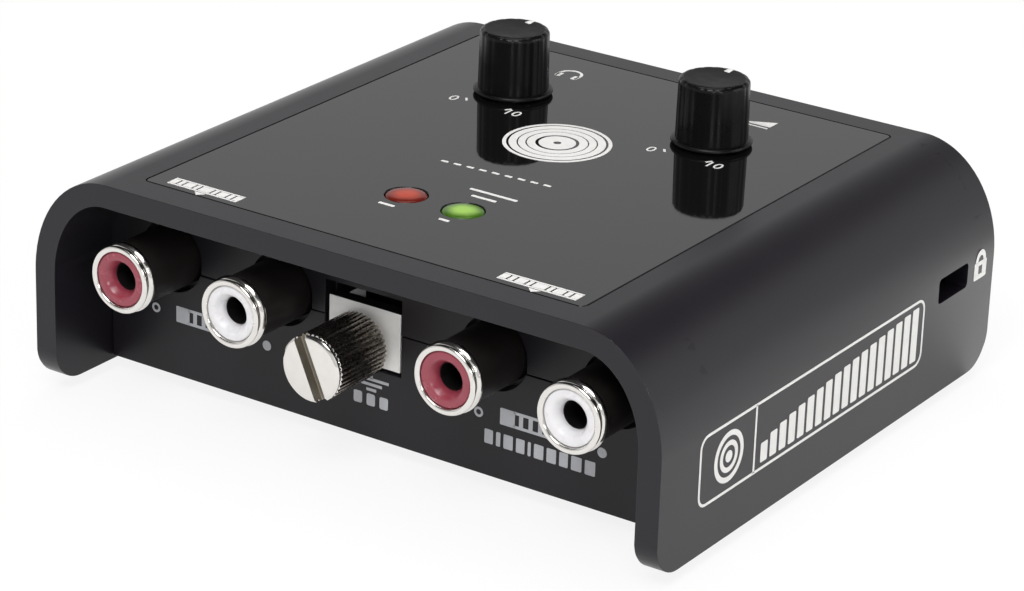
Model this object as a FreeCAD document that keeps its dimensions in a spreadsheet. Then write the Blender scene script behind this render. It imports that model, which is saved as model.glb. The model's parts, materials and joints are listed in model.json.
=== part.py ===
import FreeCAD, Part
import math
import os
import Sketcher

# A desktop phono preamp: a moulded case with two recessed ends, a glossy top panel with
# two knobs and two lamps, two pairs of phono sockets and an earth terminal at the front.
# Millimetres. X runs along the front sockets, Y away from them, Z up from under the feet.
# The origin is on the floor under the middle of the case.

SIZES = {
    # Case
    "width": 87.6,
    "depth": 76.6,
    "case_height": 27.6,
    "foot_height": 1.5,
    "wall": 2.95,
    "roof": 2.85,
    "arch_width": 10.7,
    "arch_height": 13.3,
    "front_recess": 10.3,
    "rear_recess": 3.5,
    "panel_wall": 2,
    "floor_rise": 0.6,
    "floor_wall": 2,
    "seam_height": 14.5,
    "seam_gap": 0.15,
    "side_gap": 0.15,
    "toe_round": 4.5,
    "heel_round": 4.6,
    # Glossy panel let into the roof
    "gloss_width": 61,
    "gloss_front": 4.2,
    "gloss_back": 3.6,
    "gloss_thick": 1,
    "gloss_gap": 0.15,
    "gloss_corner": 0.8,
    # Feet and screws
    "foot_radius": 4,
    "foot_x": 30,
    "foot_inset": 8,
    "boss_radius": 3,
    "boss_x": 36.6,
    "boss_front_inset": 17,
    "boss_rear_inset": 14.8,
    "screw_radius": 1.45,
    "screw_reach": 11,
    "head_radius": 2.7,
    "head_thick": 1.2,
    "cross_length": 3.2,
    "cross_width": 0.64,
    "thread_gap": 0.05,
    "hole_gap": 0.3,
    # Circuit board and what holds it
    "board_thick": 1.6,
    "board_edge": 1.6,
    "post_radius": 2.8,
    "post_x": 26,
    "post_front_inset": 21,
    "post_rear_x": 11,
    "post_rear_inset": 4.8,
    # Phono sockets
    "jack_height": 15.95,
    "jack_pitch": 16.4,
    "jack_inner_gap": 30.1,
    "jack_setback": 0.5,
    "barrel_radius": 4.15,
    "barrel_wall": 0.5,
    "barrel_step": 0.2,
    "barrel_hole_gap": 0.35,
    "groove_depth": 0.3,
    "groove_width": 0.8,
    "rim_width": 0.9,
    "pin_radius": 1.6,
    "contact_wall": 0.4,
    "contact_length": 6,
    "mouth_radius": 2.9,
    "mouth_depth": 1.7,
    "jack_body_drop": 8,
    "jack_body_rise": 5.8,
    "jack_body_depth": 11,
    "jack_body_back": 3,
    "jack_body_side": 6.6,
    # Earth terminal
    "earth_x": 3.2,
    "earth_height": 12.4,
    "earth_setback": 0.2,
    "earth_radius": 4,
    "earth_chamfer": 0.7,
    "earth_slot_width": 1.5,
    "earth_slot_depth": 1.1,
    "earth_slot_lean": 24,
    "earth_thread_radius": 1.95,
    "earth_thread_reach": 1.2,
    "earth_knurls": 32,
    "knurl_radius": 0.24,
    "knurl_stop": 1,
    "washer_thick": 0.6,
    "washer_radius": 2.7,
    "washer_gap": 0.1,
    "plate_width": 10.2,
    "plate_low": 9.4,
    "plate_high": 17,
    "plate_thick": 1.8,
    "plate_sink": 0.3,
    "cutout_high": 18.9,
    "cutout_gap": 0.35,
    "ear_thick": 1.5,
    "ear_depth": 3.4,
    "earth_nut_thick": 2.4,
    "earth_nut_radius": 3.3,
    # Controls
    "knob_x": 14.5,
    "knob_inset": 14.3,
    "knob_height": 8.05,
    "knob_radius": 4.45,
    "knob_top_radius": 4.35,
    "knob_flange_radius": 5,
    "knob_flange_thick": 0.5,
    "knob_chamfer": 0.6,
    "knob_flutes": 18,
    "flute_radius": 0.55,
    "flute_depth": 0.28,
    "knob_lift": 0.35,
    "shaft_radius": 3,
    "shaft_flat": 1.5,
    "shaft_gap": 0.03,
    "running_gap": 0.05,
    "shaft_in_knob": 6,
    "shaft_hole_gap": 0.6,
    "pot_width": 9.8,
    "pot_depth": 11.6,
    "pot_height": 6.8,
    "pot_nose_radius": 3.9,
    "pot_nose": 4,
    "pot_floor": 2,
    # Lamps
    "lamp_x": 4,
    "lamp_inset": 9.2,
    "lamp_radius": 2.5,
    "lamp_length": 8.6,
    "lamp_flange": 0.4,
    "lamp_flange_thick": 1,
    "lamp_gap": 0.1,
    "lamp_rise": 0.15,
    "lamp_tube_wall": 0.8,
    "leg_width": 0.5,
    "leg_pitch": 2.54,
    # Rear sockets and switch
    "phones_x": 27,
    "phones_body_width": 11,
    "phones_body_depth": 12,
    "phones_body_height": 7,
    "phones_back_wall": 2,
    "phones_nose_radius": 3,
    "phones_hole_radius": 1.8,
    "phones_ring_radius": 4,
    "phones_ring_thick": 1.8,
    "usb_x": 27.4,
    "usb_width": 12,
    "usb_height": 10.9,
    "usb_depth": 16,
    "usb_wall": 0.7,
    "usb_tongue_width": 5.6,
    "usb_tongue_height": 3.2,
    "usb_back": 3,
    "usb_tongue_setback": 2,
    "switch_width": 10,
    "switch_depth": 5,
    "switch_height": 6.5,
    "switch_travel": 2,
    "lever_width": 3.6,
    "lever_height": 2,
    "lever_out": 1.6,
    "lever_root": 2.4,
    "lever_gap": 0.3,
    # Lock slot in the right side
    "lock_inset": 5,
    "lock_height": 13.75,
    "lock_length": 7.4,
    "lock_width": 3.2,
    "lock_corner": 0.6,
    # Small parts on the board
    "chip_side": 10,
    "chip_thick": 1.4,
    "amp_length": 5,
    "amp_width": 4,
    "crystal_length": 11,
    "crystal_width": 4.6,
    "crystal_height": 3.6,
    "can_radius": 3.15,
    "can_height": 7,
    "front_parts_inset": 20,
    "side_can_inset": 24,
    "rear_can_inset": 13,
}

doc = FreeCAD.newDocument("PhonoPreamp")
sheet = doc.addObject("Spreadsheet::Sheet", "Sizes")
for row, (word, number) in enumerate(SIZES.items(), start=1):
    sheet.set("A%d" % row, word)
    sheet.set("B%d" % row, str(number))
    sheet.setAlias("B%d" % row, word)
doc.recompute()

V = FreeCAD.Vector
FULL_TURN = 360
# How far a cutting shape runs past what it cuts
OVER = 1


# A length that knows both its number now and the sheet formula that gives it
class Dim:
    def __init__(self, text, value):
        self.text = text
        self.value = value

    def __add__(self, other):
        other = dim(other)
        return Dim("(%s + %s)" % (self.text, other.text), self.value + other.value)

    def __sub__(self, other):
        other = dim(other)
        return Dim("(%s - %s)" % (self.text, other.text), self.value - other.value)

    def __mul__(self, other):
        other = dim(other)
        return Dim("(%s * %s)" % (self.text, other.text), self.value * other.value)

    def __truediv__(self, other):
        other = dim(other)
        return Dim("(%s / %s)" % (self.text, other.text), self.value / other.value)

    def __neg__(self):
        return Dim("(0 - %s)" % self.text, -self.value)

    def __radd__(self, other):
        return dim(other) + self

    def __rsub__(self, other):
        return dim(other) - self

    def __rmul__(self, other):
        return dim(other) * self


def dim(thing):
    if isinstance(thing, Dim):
        return thing
    return Dim(repr(thing), thing)


# The sheet's value of that name
def size(word):
    return Dim("Sizes." + word, float(sheet.get(word)))


# Levels and planes that several pieces share
caseBottom = size("foot_height")
roofTop = caseBottom + size("case_height")
roofUnder = roofTop - size("roof")
halfWidth = size("width") / 2
halfDepth = size("depth") / 2
innerHalf = halfWidth - size("wall")
frontFace = size("front_recess") - halfDepth
frontInner = frontFace + size("panel_wall")
rearFace = halfDepth - size("rear_recess")
rearInner = rearFace - size("panel_wall")
seam = caseBottom + size("seam_height")
trayBottom = caseBottom + size("floor_rise")
trayFloor = trayBottom + size("floor_wall")
jackZ = caseBottom + size("jack_height")
boardTop = jackZ - size("jack_body_drop")
boardBottom = boardTop - size("board_thick")
jackEnd = size("jack_setback") - halfDepth
barrelBack = frontInner + size("jack_body_depth") - size("jack_body_back")
glossBottom = roofTop - size("gloss_thick")
earthX = -size("earth_x")
earthZ = caseBottom + size("earth_height")
earthEnd = size("earth_setback") - halfDepth
plateFace = frontFace + size("plate_sink")
plateBack = plateFace + size("plate_thick")
phonesZ = boardTop + size("phones_body_height") / 2
usbX = -size("usb_x")
leverZ = boardTop + size("switch_height") / 2
shaftHole = size("shaft_radius") + size("shaft_hole_gap")
lampHole = size("lamp_radius") + size("lamp_gap")
lampTop = roofTop + size("lamp_rise")
lampBottom = lampTop - size("lamp_length")
knobY = rearInner - size("knob_inset")
lampY = frontFace + size("lamp_inset")
lockY = rearInner - size("lock_inset")
bossFrontY = frontInner + size("boss_front_inset")
bossRearY = rearInner - size("boss_rear_inset")
postFrontY = frontInner + size("post_front_inset")
postRearY = rearInner - size("post_rear_inset")

AXIS_TURN = {
    "x": FreeCAD.Rotation(V(0, 1, 0), 90),
    "y": FreeCAD.Rotation(V(1, 0, 0), -90),
    "z": FreeCAD.Rotation(),
}


def bind(thing, prop, length):
    thing.setExpression(prop, dim(length).text)


def place(thing, x, y, z, turn=None):
    if turn is not None:
        thing.Placement = FreeCAD.Placement(V(0, 0, 0), turn)
    bind(thing, "Placement.Base.x", x)
    bind(thing, "Placement.Base.y", y)
    bind(thing, "Placement.Base.z", z)
    return thing


# A block from its lowest corner and its three sizes
def block(name, corner, sides):
    thing = doc.addObject("Part::Box", name)
    for prop, side in zip(("Length", "Width", "Height"), sides):
        bind(thing, prop, side)
    return place(thing, *corner)


# A block given by its limits along each axis
def span(name, xs, ys, zs):
    corner = [dim(limits[0]) for limits in (xs, ys, zs)]
    sides = [dim(limits[1]) - limits[0] for limits in (xs, ys, zs)]
    return block(name, corner, sides)


# A round rod from its start along one axis
def rod(name, radius, length, start, axis="z"):
    thing = doc.addObject("Part::Cylinder", name)
    bind(thing, "Radius", radius)
    bind(thing, "Height", length)
    return place(thing, *start, turn=AXIS_TURN[axis])


def cone(name, radius, endRadius, length, start, axis="z"):
    thing = doc.addObject("Part::Cone", name)
    bind(thing, "Radius1", radius)
    bind(thing, "Radius2", endRadius)
    bind(thing, "Height", length)
    return place(thing, *start, turn=AXIS_TURN[axis])


def join(name, pieces):
    if len(pieces) == 1:
        return pieces[0]
    thing = doc.addObject("Part::MultiFuse", name)
    thing.Shapes = pieces
    thing.Refine = True
    return thing


def cut(name, base, tools):
    thing = doc.addObject("Part::Cut", name)
    thing.Base = base
    thing.Tool = join(name + "_tools", tools)
    thing.Refine = True
    return thing


# Ties one end of a sketch line to a place on the sheet
def pin(sketch, line, end, x, y):
    for kind, length, acrossAxis in (("DistanceX", x, -2), ("DistanceY", y, -1)):
        if abs(length.value) < 1e-9:
            sketch.addConstraint(Sketcher.Constraint("PointOnObject", line, end, acrossAxis))
            continue
        rule = Sketcher.Constraint(kind, -1, 1, line, end, length.value)
        number = sketch.addConstraint(rule)
        sketch.setExpression("Constraints[%d]" % number, length.text)


# A quarter arc between two pinned ends, round or oval, bulging to its corner
def cornerArc(sketch, corner, start, end, startLine, endLine):
    startsFlat = abs(start[1].value - corner[1].value) < 1e-9
    if startsFlat:
        centre = V(start[0].value, end[1].value, 0)
    else:
        centre = V(end[0].value, start[1].value, 0)
    wide = abs(corner[0].value - centre.x)
    tall = abs(corner[1].value - centre.y)
    middle = V(centre.x + (corner[0].value - centre.x) * math.sqrt(0.5),
               centre.y + (corner[1].value - centre.y) * math.sqrt(0.5), 0)
    if abs(wide - tall) < 1e-9:
        first = V(start[0].value, start[1].value, 0)
        last = V(end[0].value, end[1].value, 0)
        arc = sketch.addGeometry(Part.Arc(first, middle, last))
    else:
        arc = sketch.addGeometry(ovalQuarter(centre, wide, tall, middle))
        sketch.exposeInternalGeometry(arc)
    return finishArc(sketch, arc, abs(wide - tall) < 1e-9, startsFlat, start, startLine, endLine)


# Ties the arc to its two lines, and its middle in line with their ends
def finishArc(sketch, arc, isRound, startsFlat, start, startLine, endLine):
    first = sketch.getPoint(arc, 1)
    startsFirst = first.distanceToPoint(V(start[0].value, start[1].value, 0)) < 1e-6
    ends = (1, 2) if startsFirst else (2, 1)
    sketch.addConstraint(Sketcher.Constraint("Coincident", startLine, 2, arc, ends[0]))
    sketch.addConstraint(Sketcher.Constraint("Coincident", endLine, 1, arc, ends[1]))
    alongStart = "Vertical" if startsFlat else "Horizontal"
    alongEnd = "Horizontal" if startsFlat else "Vertical"
    sketch.addConstraint(Sketcher.Constraint(alongStart, arc, 3, startLine, 2))
    if not isRound:
        sketch.addConstraint(Sketcher.Constraint(alongEnd, arc, 3, endLine, 1))
        sketch.addConstraint(Sketcher.Constraint("Vertical", arc + 1))
    return arc


# The quarter of an upright oval that passes through the middle point
def ovalQuarter(centre, wide, tall, middle):
    oval = Part.Ellipse(centre + V(0, tall, 0), centre - V(wide, 0, 0), centre)
    right = middle.x > centre.x
    above = middle.y > centre.y
    starts = {(False, True): 0, (False, False): 0.5, (True, False): 1, (True, True): 1.5}
    start = starts[(right, above)] * math.pi
    return Part.ArcOfEllipse(oval, start, start + math.pi / 2)


# A closed outline of upright and level lines. Each corner is (x, y) or, where it is
# rounded, (x, y, radius along x, radius along y)
def outline(sketch, corners):
    corners = [tuple(dim(part) for part in corner) for corner in corners]
    count = len(corners)
    ends = []
    for index, corner in enumerate(corners):
        before = corners[index - 1]
        after = corners[(index + 1) % count]
        ends.append(cornerEnds(before, corner, after))
    lines = []
    for index in range(count):
        start = ends[index][1]
        end = ends[(index + 1) % count][0]
        first = V(start[0].value, start[1].value, 0)
        last = V(end[0].value, end[1].value, 0)
        lines.append(sketch.addGeometry(Part.LineSegment(first, last)))
    for index in range(count):
        startLine = lines[index - 1]
        endLine = lines[index]
        arrive, leave = ends[index]
        pin(sketch, startLine, 2, *arrive)
        if len(corners[index]) == 2:
            sketch.addConstraint(Sketcher.Constraint("Coincident", startLine, 2, endLine, 1))
            continue
        pin(sketch, endLine, 1, *leave)
        cornerArc(sketch, corners[index], arrive, leave, startLine, endLine)
    return sketch


# Where the lines that meet at a corner stop, before and after its arc
def cornerEnds(before, corner, after):
    x, y = corner[0], corner[1]
    if len(corner) == 2:
        return (x, y), (x, y)
    arrive = trimmed(x, y, before, corner[2], corner[3])
    leave = trimmed(x, y, after, corner[2], corner[3])
    return arrive, leave


def trimmed(x, y, neighbour, alongX, alongY):
    runX = neighbour[0].value - x.value
    runY = neighbour[1].value - y.value
    if abs(runY) < 1e-9:
        return (x + alongX if runX > 0 else x - alongX), y
    return x, (y + alongY if runY > 0 else y - alongY)


PLANE_TURN = {
    "XY": FreeCAD.Rotation(),
    "XZ": FreeCAD.Rotation(V(1, 0, 0), 90),
    "YZ": FreeCAD.Rotation(V(1, 1, 1), 120),
}


# A solid drawn as an outline and pulled both ways from its plane
def pulled(name, plane, corners, length):
    sketch = doc.addObject("Sketcher::SketchObject", name + "_outline")
    sketch.Placement = FreeCAD.Placement(V(0, 0, 0), PLANE_TURN[plane])
    outline(sketch, corners)
    thing = doc.addObject("Part::Extrusion", name)
    thing.Base = sketch
    thing.DirMode = "Normal"
    thing.Solid = True
    thing.Symmetric = True
    bind(thing, "LengthFwd", length)
    return thing


def bodySketch(body, name, role, height=None):
    plane = [item for item in body.Origin.OriginFeatures if item.Role == role][0]
    sketch = body.newObject("Sketcher::SketchObject", name)
    sketch.AttachmentSupport = [(plane, "")]
    sketch.MapMode = "FlatFace"
    if height is not None:
        sketch.setExpression("AttachmentOffset.Base.z", dim(height).text)
    return sketch


# Each corner of a closed straight-sided outline is pinned to the sheet
def straightOutline(sketch, corners):
    corners = [tuple(dim(part) for part in corner) for corner in corners]
    count = len(corners)
    points = [V(corner[0].value, corner[1].value, 0) for corner in corners]
    lines = []
    for index in range(count):
        segment = Part.LineSegment(points[index], points[(index + 1) % count])
        lines.append(sketch.addGeometry(segment))
    for index in range(count):
        sketch.addConstraint(Sketcher.Constraint("Coincident", lines[index - 1], 2, lines[index], 1))
        pin(sketch, lines[index], 1, *corners[index])
    return sketch


def circleIn(sketch, x, y, radius):
    x, y, radius = dim(x), dim(y), dim(radius)
    ring = sketch.addGeometry(Part.Circle(V(x.value, y.value, 0), V(0, 0, 1), radius.value))
    number = sketch.addConstraint(Sketcher.Constraint("Radius", ring, radius.value))
    sketch.setExpression("Constraints[%d]" % number, radius.text)
    pin(sketch, ring, 3, x, y)
    return ring


def pad(body, name, sketch, length):
    feature = body.newObject("PartDesign::Pad", name)
    feature.Profile = sketch
    bind(feature, "Length", length)
    return feature


# A pocket cuts below its sketch plane, or above it when reversed
def pocket(body, name, sketch, length, reversed=False):
    feature = body.newObject("PartDesign::Pocket", name)
    feature.Profile = sketch
    feature.Reversed = reversed
    bind(feature, "Length", length)
    return feature


def spun(body, name, sketch):
    feature = body.newObject("PartDesign::Revolution", name)
    feature.Profile = sketch
    feature.ReferenceAxis = (sketch, ["V_Axis"])
    feature.Angle = FULL_TURN
    return feature


def around(body, name, feature, count):
    axis = [item for item in body.Origin.OriginFeatures if item.Role == "Z_Axis"][0]
    pattern = body.newObject("PartDesign::PolarPattern", name)
    pattern.Originals = [feature]
    pattern.Axis = (axis, [""])
    pattern.Angle = FULL_TURN
    pattern.setExpression("Occurrences", "Sizes." + count)
    body.Tip = pattern
    return pattern


subParts = []


def finished(label, thing):
    thing.Label = label
    subParts.append(thing)
    return thing


jackInner = size("jack_inner_gap") / 2
jackOuter = jackInner + size("jack_pitch")
JACKS = {
    "output_right": -jackOuter,
    "output_left": -jackInner,
    "input_right": jackInner,
    "input_left": jackOuter,
}
BOSSES = [(side * size("boss_x"), y) for side in (-1, 1) for y in (bossFrontY, bossRearY)]
POSTS = [(side * size("post_x"), postFrontY) for side in (-1, 1)]
POSTS += [(side * size("post_rear_x"), postRearY) for side in (-1, 1)]
KNOBS = {"phones": -size("knob_x"), "gain": size("knob_x")}
LAMPS = {"signal": -size("lamp_x"), "power": size("lamp_x")}


# The arched section of the case, narrowed and lowered by an inset
def archCorners(halfSpan, low, high, archWide, archTall):
    return [(-halfSpan, low), (halfSpan, low),
            (halfSpan, high, archWide, archTall), (-halfSpan, high, archWide, archTall)]


# The side view of the case, with its rounded front and back toes
def sideBlank():
    corners = [(-halfDepth, caseBottom, size("toe_round"), size("toe_round")),
               (halfDepth, caseBottom, size("heel_round"), size("heel_round")),
               (halfDepth, roofTop), (-halfDepth, roofTop)]
    return pulled("side_view", "YZ", corners, size("width") + 2 * OVER)


# Holes round the phono sockets, open down to the seam in the upper half
def jackHoles(prefix, slotLow, slotHigh):
    holes = []
    radius = size("barrel_radius") + size("barrel_hole_gap")
    start = frontFace - OVER
    through = size("panel_wall") + 2 * OVER
    for name, x in JACKS.items():
        holes.append(rod(prefix + name + "_hole", radius, through, (x, start, jackZ), "y"))
        if slotLow is not None:
            slot = span(prefix + name + "_slot", (x - radius, x + radius),
                        (start, start + through), (slotLow, slotHigh))
            holes.append(slot)
    return holes


# The square window in the front wall for the earth plate
def earthWindow(name):
    half = size("plate_width") / 2 + size("cutout_gap")
    return span(name, (earthX - half, earthX + half), (frontFace - OVER, frontInner + OVER),
                (caseBottom + size("plate_low"), caseBottom + size("cutout_high")))


# The window in the rear wall for the square data socket
def usbWindow(name):
    half = size("usb_width") / 2 + size("hole_gap")
    return span(name, (usbX - half, usbX + half), (rearInner - OVER, rearFace + OVER),
                (boardTop - size("hole_gap"), boardTop + size("usb_height") + size("hole_gap")))


# The panel's recess in the roof, with an even gap round the panel
def glossCorners(gap):
    half = size("gloss_width") / 2 + gap
    radius = size("gloss_corner") + gap
    front = size("gloss_front") - halfDepth - gap
    back = halfDepth - size("gloss_back") + gap
    return [(-half, front, radius, radius), (half, front, radius, radius),
            (half, back, radius, radius), (-half, back, radius, radius)]


def lockSlot():
    corner = size("lock_corner")
    halfLong = size("lock_length") / 2
    halfTall = size("lock_width") / 2
    z = caseBottom + size("lock_height")
    start = innerHalf - OVER
    end = halfWidth + OVER
    corners = [rod("lock_corner_%d_%d" % (along, up), corner, end - start,
                   (start, lockY + along * (halfLong - corner), z + up * (halfTall - corner)), "x")
               for along in (-1, 1) for up in (-1, 1)]
    middle = span("lock_middle", (start, end), (lockY - halfLong, lockY + halfLong),
                  (z - halfTall + corner, z + halfTall - corner))
    upright = span("lock_upright", (start, end), (lockY - halfLong + corner, lockY + halfLong - corner),
                   (z - halfTall, z + halfTall))
    return corners + [middle, upright]


# The upper shell: roof, side walls and the upper halves of both end walls
def topShell():
    outer = pulled("arch", "XZ", archCorners(halfWidth, caseBottom, roofTop,
                   size("arch_width"), size("arch_height")), size("depth"))
    blank = doc.addObject("Part::Common", "shell_blank")
    blank.Base = outer
    blank.Tool = sideBlank()
    innerWide = size("arch_width") - size("wall")
    innerTall = size("arch_height") - size("roof")
    inner = pulled("arch_inside", "XZ", archCorners(innerHalf, caseBottom - OVER, roofUnder,
                   innerWide, innerTall), size("depth") + 2 * OVER)
    arch = cut("shell_arch", blank, [inner])
    upperLow = seam + size("seam_gap")
    front = span("upper_front_wall", (-halfWidth, halfWidth), (frontFace, frontInner), (upperLow, roofTop))
    rear = span("upper_rear_wall", (-halfWidth, halfWidth), (rearInner, rearFace), (upperLow, roofTop))
    bosses = [rod("boss_%d" % index, size("boss_radius"), roofTop - boardTop, (x, y, boardTop))
              for index, (x, y) in enumerate(BOSSES)]
    fittings = doc.addObject("Part::Common", "fittings")
    fittings.Base = pulled("arch_lining", "XZ", archCorners(innerHalf + OVER, caseBottom, roofUnder + OVER,
                           innerWide + OVER, innerTall + OVER), size("depth"))
    fittings.Tool = join("walls_and_bosses", [front, rear] + bosses)
    full = join("shell_full", [arch, fittings])
    glossPocket = pulled("gloss_pocket", "XY", glossCorners(size("gloss_gap")), 2 * size("gloss_thick"))
    place(glossPocket, 0, 0, roofTop)
    holes = jackHoles("upper_", seam - OVER, jackZ)
    holes += [earthWindow("upper_earth_window"), usbWindow("upper_usb_window")]
    holes += [rod("boss_bore_%d" % index, size("screw_radius") + size("thread_gap"),
                  size("screw_reach"), (x, y, boardTop - OVER), "z")
              for index, (x, y) in enumerate(BOSSES)]
    holes += [rod(name + "_roof_hole", shaftHole, size("roof") + 2 * OVER,
                  (x, knobY, roofUnder - OVER)) for name, x in KNOBS.items()]
    holes += [rod(name + "_roof_hole", lampHole, size("roof") + 2 * OVER,
                  (x, lampY, roofUnder - OVER)) for name, x in LAMPS.items()]
    finished("top_shell", cut("top_shell", full, [glossPocket] + holes + lockSlot()))


# The lower tray: floor, the lower halves of both end walls, and the board's posts
def bottomTray():
    half = innerHalf - size("side_gap")
    floor = span("tray_floor", (-half, half), (frontFace, rearFace), (trayBottom, trayFloor))
    front = span("tray_front", (-half, half), (frontFace, frontInner), (trayBottom, seam))
    rear = span("tray_rear", (-half, half), (rearInner, rearFace), (trayBottom, seam))
    posts = [rod("post_%d" % index, size("post_radius"), boardBottom - trayFloor,
                 (x, y, trayFloor)) for index, (x, y) in enumerate(POSTS)]
    sleeves = [rod("sleeve_%d" % index, size("boss_radius"),
                   boardBottom - trayFloor - size("hole_gap"), (x, y, trayFloor))
               for index, (x, y) in enumerate(BOSSES)]
    full = join("tray_full", [floor, front, rear] + posts + sleeves)
    holes = jackHoles("lower_", None, None)
    holes += [earthWindow("lower_earth_window"), usbWindow("lower_usb_window")]
    holes.append(rod("phones_panel_hole", size("phones_nose_radius") + size("hole_gap"),
                     size("panel_wall") + 2 * OVER, (size("phones_x"), rearInner - OVER, phonesZ), "y"))
    leverHalf = size("lever_width") / 2 + size("lever_gap")
    leverTall = size("lever_height") / 2 + size("lever_gap")
    holes.append(span("lever_window", (-leverHalf, leverHalf + size("switch_travel")),
                      (rearInner - OVER, rearFace + OVER), (leverZ - leverTall, leverZ + leverTall)))
    for index, (x, y) in enumerate(BOSSES):
        clear = size("screw_radius") + size("hole_gap")
        headClear = size("head_radius") + size("hole_gap")
        holes.append(rod("case_screw_hole_%d" % index, clear, boardTop - trayBottom,
                         (x, y, trayBottom - OVER)))
        holes.append(rod("case_screw_sink_%d" % index, headClear, size("head_thick") + OVER,
                         (x, y, trayBottom - OVER)))
    for index, (x, y) in enumerate(POSTS):
        bore = size("screw_radius") + size("thread_gap")
        holes.append(rod("post_bore_%d" % index, bore, boardBottom - trayFloor,
                         (x, y, trayFloor + size("hole_gap"))))
    finished("bottom_tray", cut("bottom_tray", full, holes))


# The glossy plate let into the roof
def topPanel():
    body = doc.addObject("PartDesign::Body", "top_panel")
    sketch = bodySketch(body, "panel_outline", "XY_Plane")
    outline(sketch, glossCorners(dim(0)))
    for x in KNOBS.values():
        circleIn(sketch, x, knobY, shaftHole)
    for x in LAMPS.values():
        circleIn(sketch, x, lampY, lampHole)
    pad(body, "panel_pad", sketch, size("gloss_thick"))
    place(body, 0, 0, glossBottom)
    finished("top_panel", body)


def rubberFeet():
    pads = []
    for side in (-1, 1):
        x = side * size("foot_x")
        for y in (frontFace + size("foot_inset"), rearFace - size("foot_inset")):
            pads.append(rod("foot", size("foot_radius"), trayBottom, (x, y, 0)))
    feet = doc.addObject("Part::MultiFuse", "rubber_feet")
    feet.Shapes = pads
    finished("rubber_feet", feet)


# Screws of one kind, each with a flat head and a cross slot, as separate solids
def screwSet(label, spots, headLow, length, pointsUp):
    solids = []
    for index, (x, y) in enumerate(spots):
        name = "%s_%d" % (label, index)
        head = rod(name + "_head", size("head_radius"), size("head_thick"), (x, y, headLow))
        shankLow = headLow + size("head_thick") if pointsUp else headLow - length
        shank = rod(name + "_shank", size("screw_radius"), length, (x, y, shankLow))
        slotLow = headLow if pointsUp else headLow + size("head_thick") / 2
        half = size("cross_length") / 2
        thin = size("cross_width") / 2
        bars = [span(name + "_slot_a", (x - half, x + half), (y - thin, y + thin),
                     (slotLow, slotLow + size("head_thick") / 2)),
                span(name + "_slot_b", (x - thin, x + thin), (y - half, y + half),
                     (slotLow, slotLow + size("head_thick") / 2))]
        solids.append(cut(name, join(name + "_blank", [head, shank]), bars))
    group = doc.addObject("Part::MultiFuse", label)
    group.Shapes = solids
    finished(label, group)


def caseScrews():
    reach = boardTop - trayBottom - size("head_thick") + size("screw_reach") / 2
    screwSet("case_screws", BOSSES, trayBottom, reach, True)


def boardScrews():
    length = size("board_thick") + (boardBottom - trayFloor) - 2 * size("hole_gap")
    screwSet("board_screws", POSTS, boardTop, length, False)


# The board, cut round the case screws' bosses
def mainBoard():
    body = doc.addObject("PartDesign::Body", "main_board")
    sketch = bodySketch(body, "board_outline", "XY_Plane")
    half = innerHalf - size("board_edge")
    front = frontInner + size("board_edge")
    back = rearInner - size("hole_gap")
    straightOutline(sketch, [(-half, front), (half, front), (half, back), (-half, back)])
    pad(body, "board_pad", sketch, size("board_thick"))
    holes = bodySketch(body, "board_holes_outline", "XY_Plane", size("board_thick"))
    for x, y in BOSSES:
        circleIn(holes, x, y, size("boss_radius") + size("hole_gap"))
    for x, y in POSTS:
        circleIn(holes, x, y, size("screw_radius") + size("thread_gap"))
    pocket(body, "board_holes", holes, size("board_thick") + OVER)
    place(body, 0, 0, boardBottom)
    finished("main_board", body)


# A black block behind the front wall that carries two phono sockets
def jackBody(label, names):
    xs = [JACKS[name] for name in names]
    side = size("jack_body_side")
    low = xs[0] - side
    high = xs[1] + side
    back = frontInner + size("jack_body_depth")
    base = span(label + "_block", (low, high), (frontInner, back),
                (boardTop, jackZ + size("jack_body_rise")))
    bore = size("barrel_radius") - size("barrel_step") + size("thread_gap")
    holes = [rod(name + "_seat", bore, barrelBack - frontInner + OVER,
                 (JACKS[name], frontInner - OVER, jackZ), "y") for name in names]
    finished(label, cut(label, base, holes))


# One socket: the plated barrel, the coloured insulator and the centre contact inside it
def phonoSocket(name):
    x = JACKS[name]
    length = barrelBack - jackEnd
    start = (x, jackEnd, jackZ)
    outside = rod(name + "_outside", size("barrel_radius"), frontFace - jackEnd, start, "y")
    inside = rod(name + "_inside", size("barrel_radius") - size("barrel_step"), length, start, "y")
    tube = join(name + "_tube", [outside, inside])
    inner = size("barrel_radius") - size("barrel_wall")
    hollow = rod(name + "_hollow", inner, length + 2 * OVER, (x, jackEnd - OVER, jackZ), "y")
    grooveAt = jackEnd + size("rim_width")
    ring = rod(name + "_ring_out", size("barrel_radius") + OVER, size("groove_width"),
               (x, grooveAt, jackZ), "y")
    core = rod(name + "_ring_in", size("barrel_radius") - size("groove_depth"),
               size("groove_width"), (x, grooveAt, jackZ), "y")
    groove = cut(name + "_groove", ring, [core])
    finished(name + "_barrel", cut(name + "_barrel", tube, [hollow, groove]))
    insulator(name, x, inner - size("thread_gap"), length)


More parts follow.
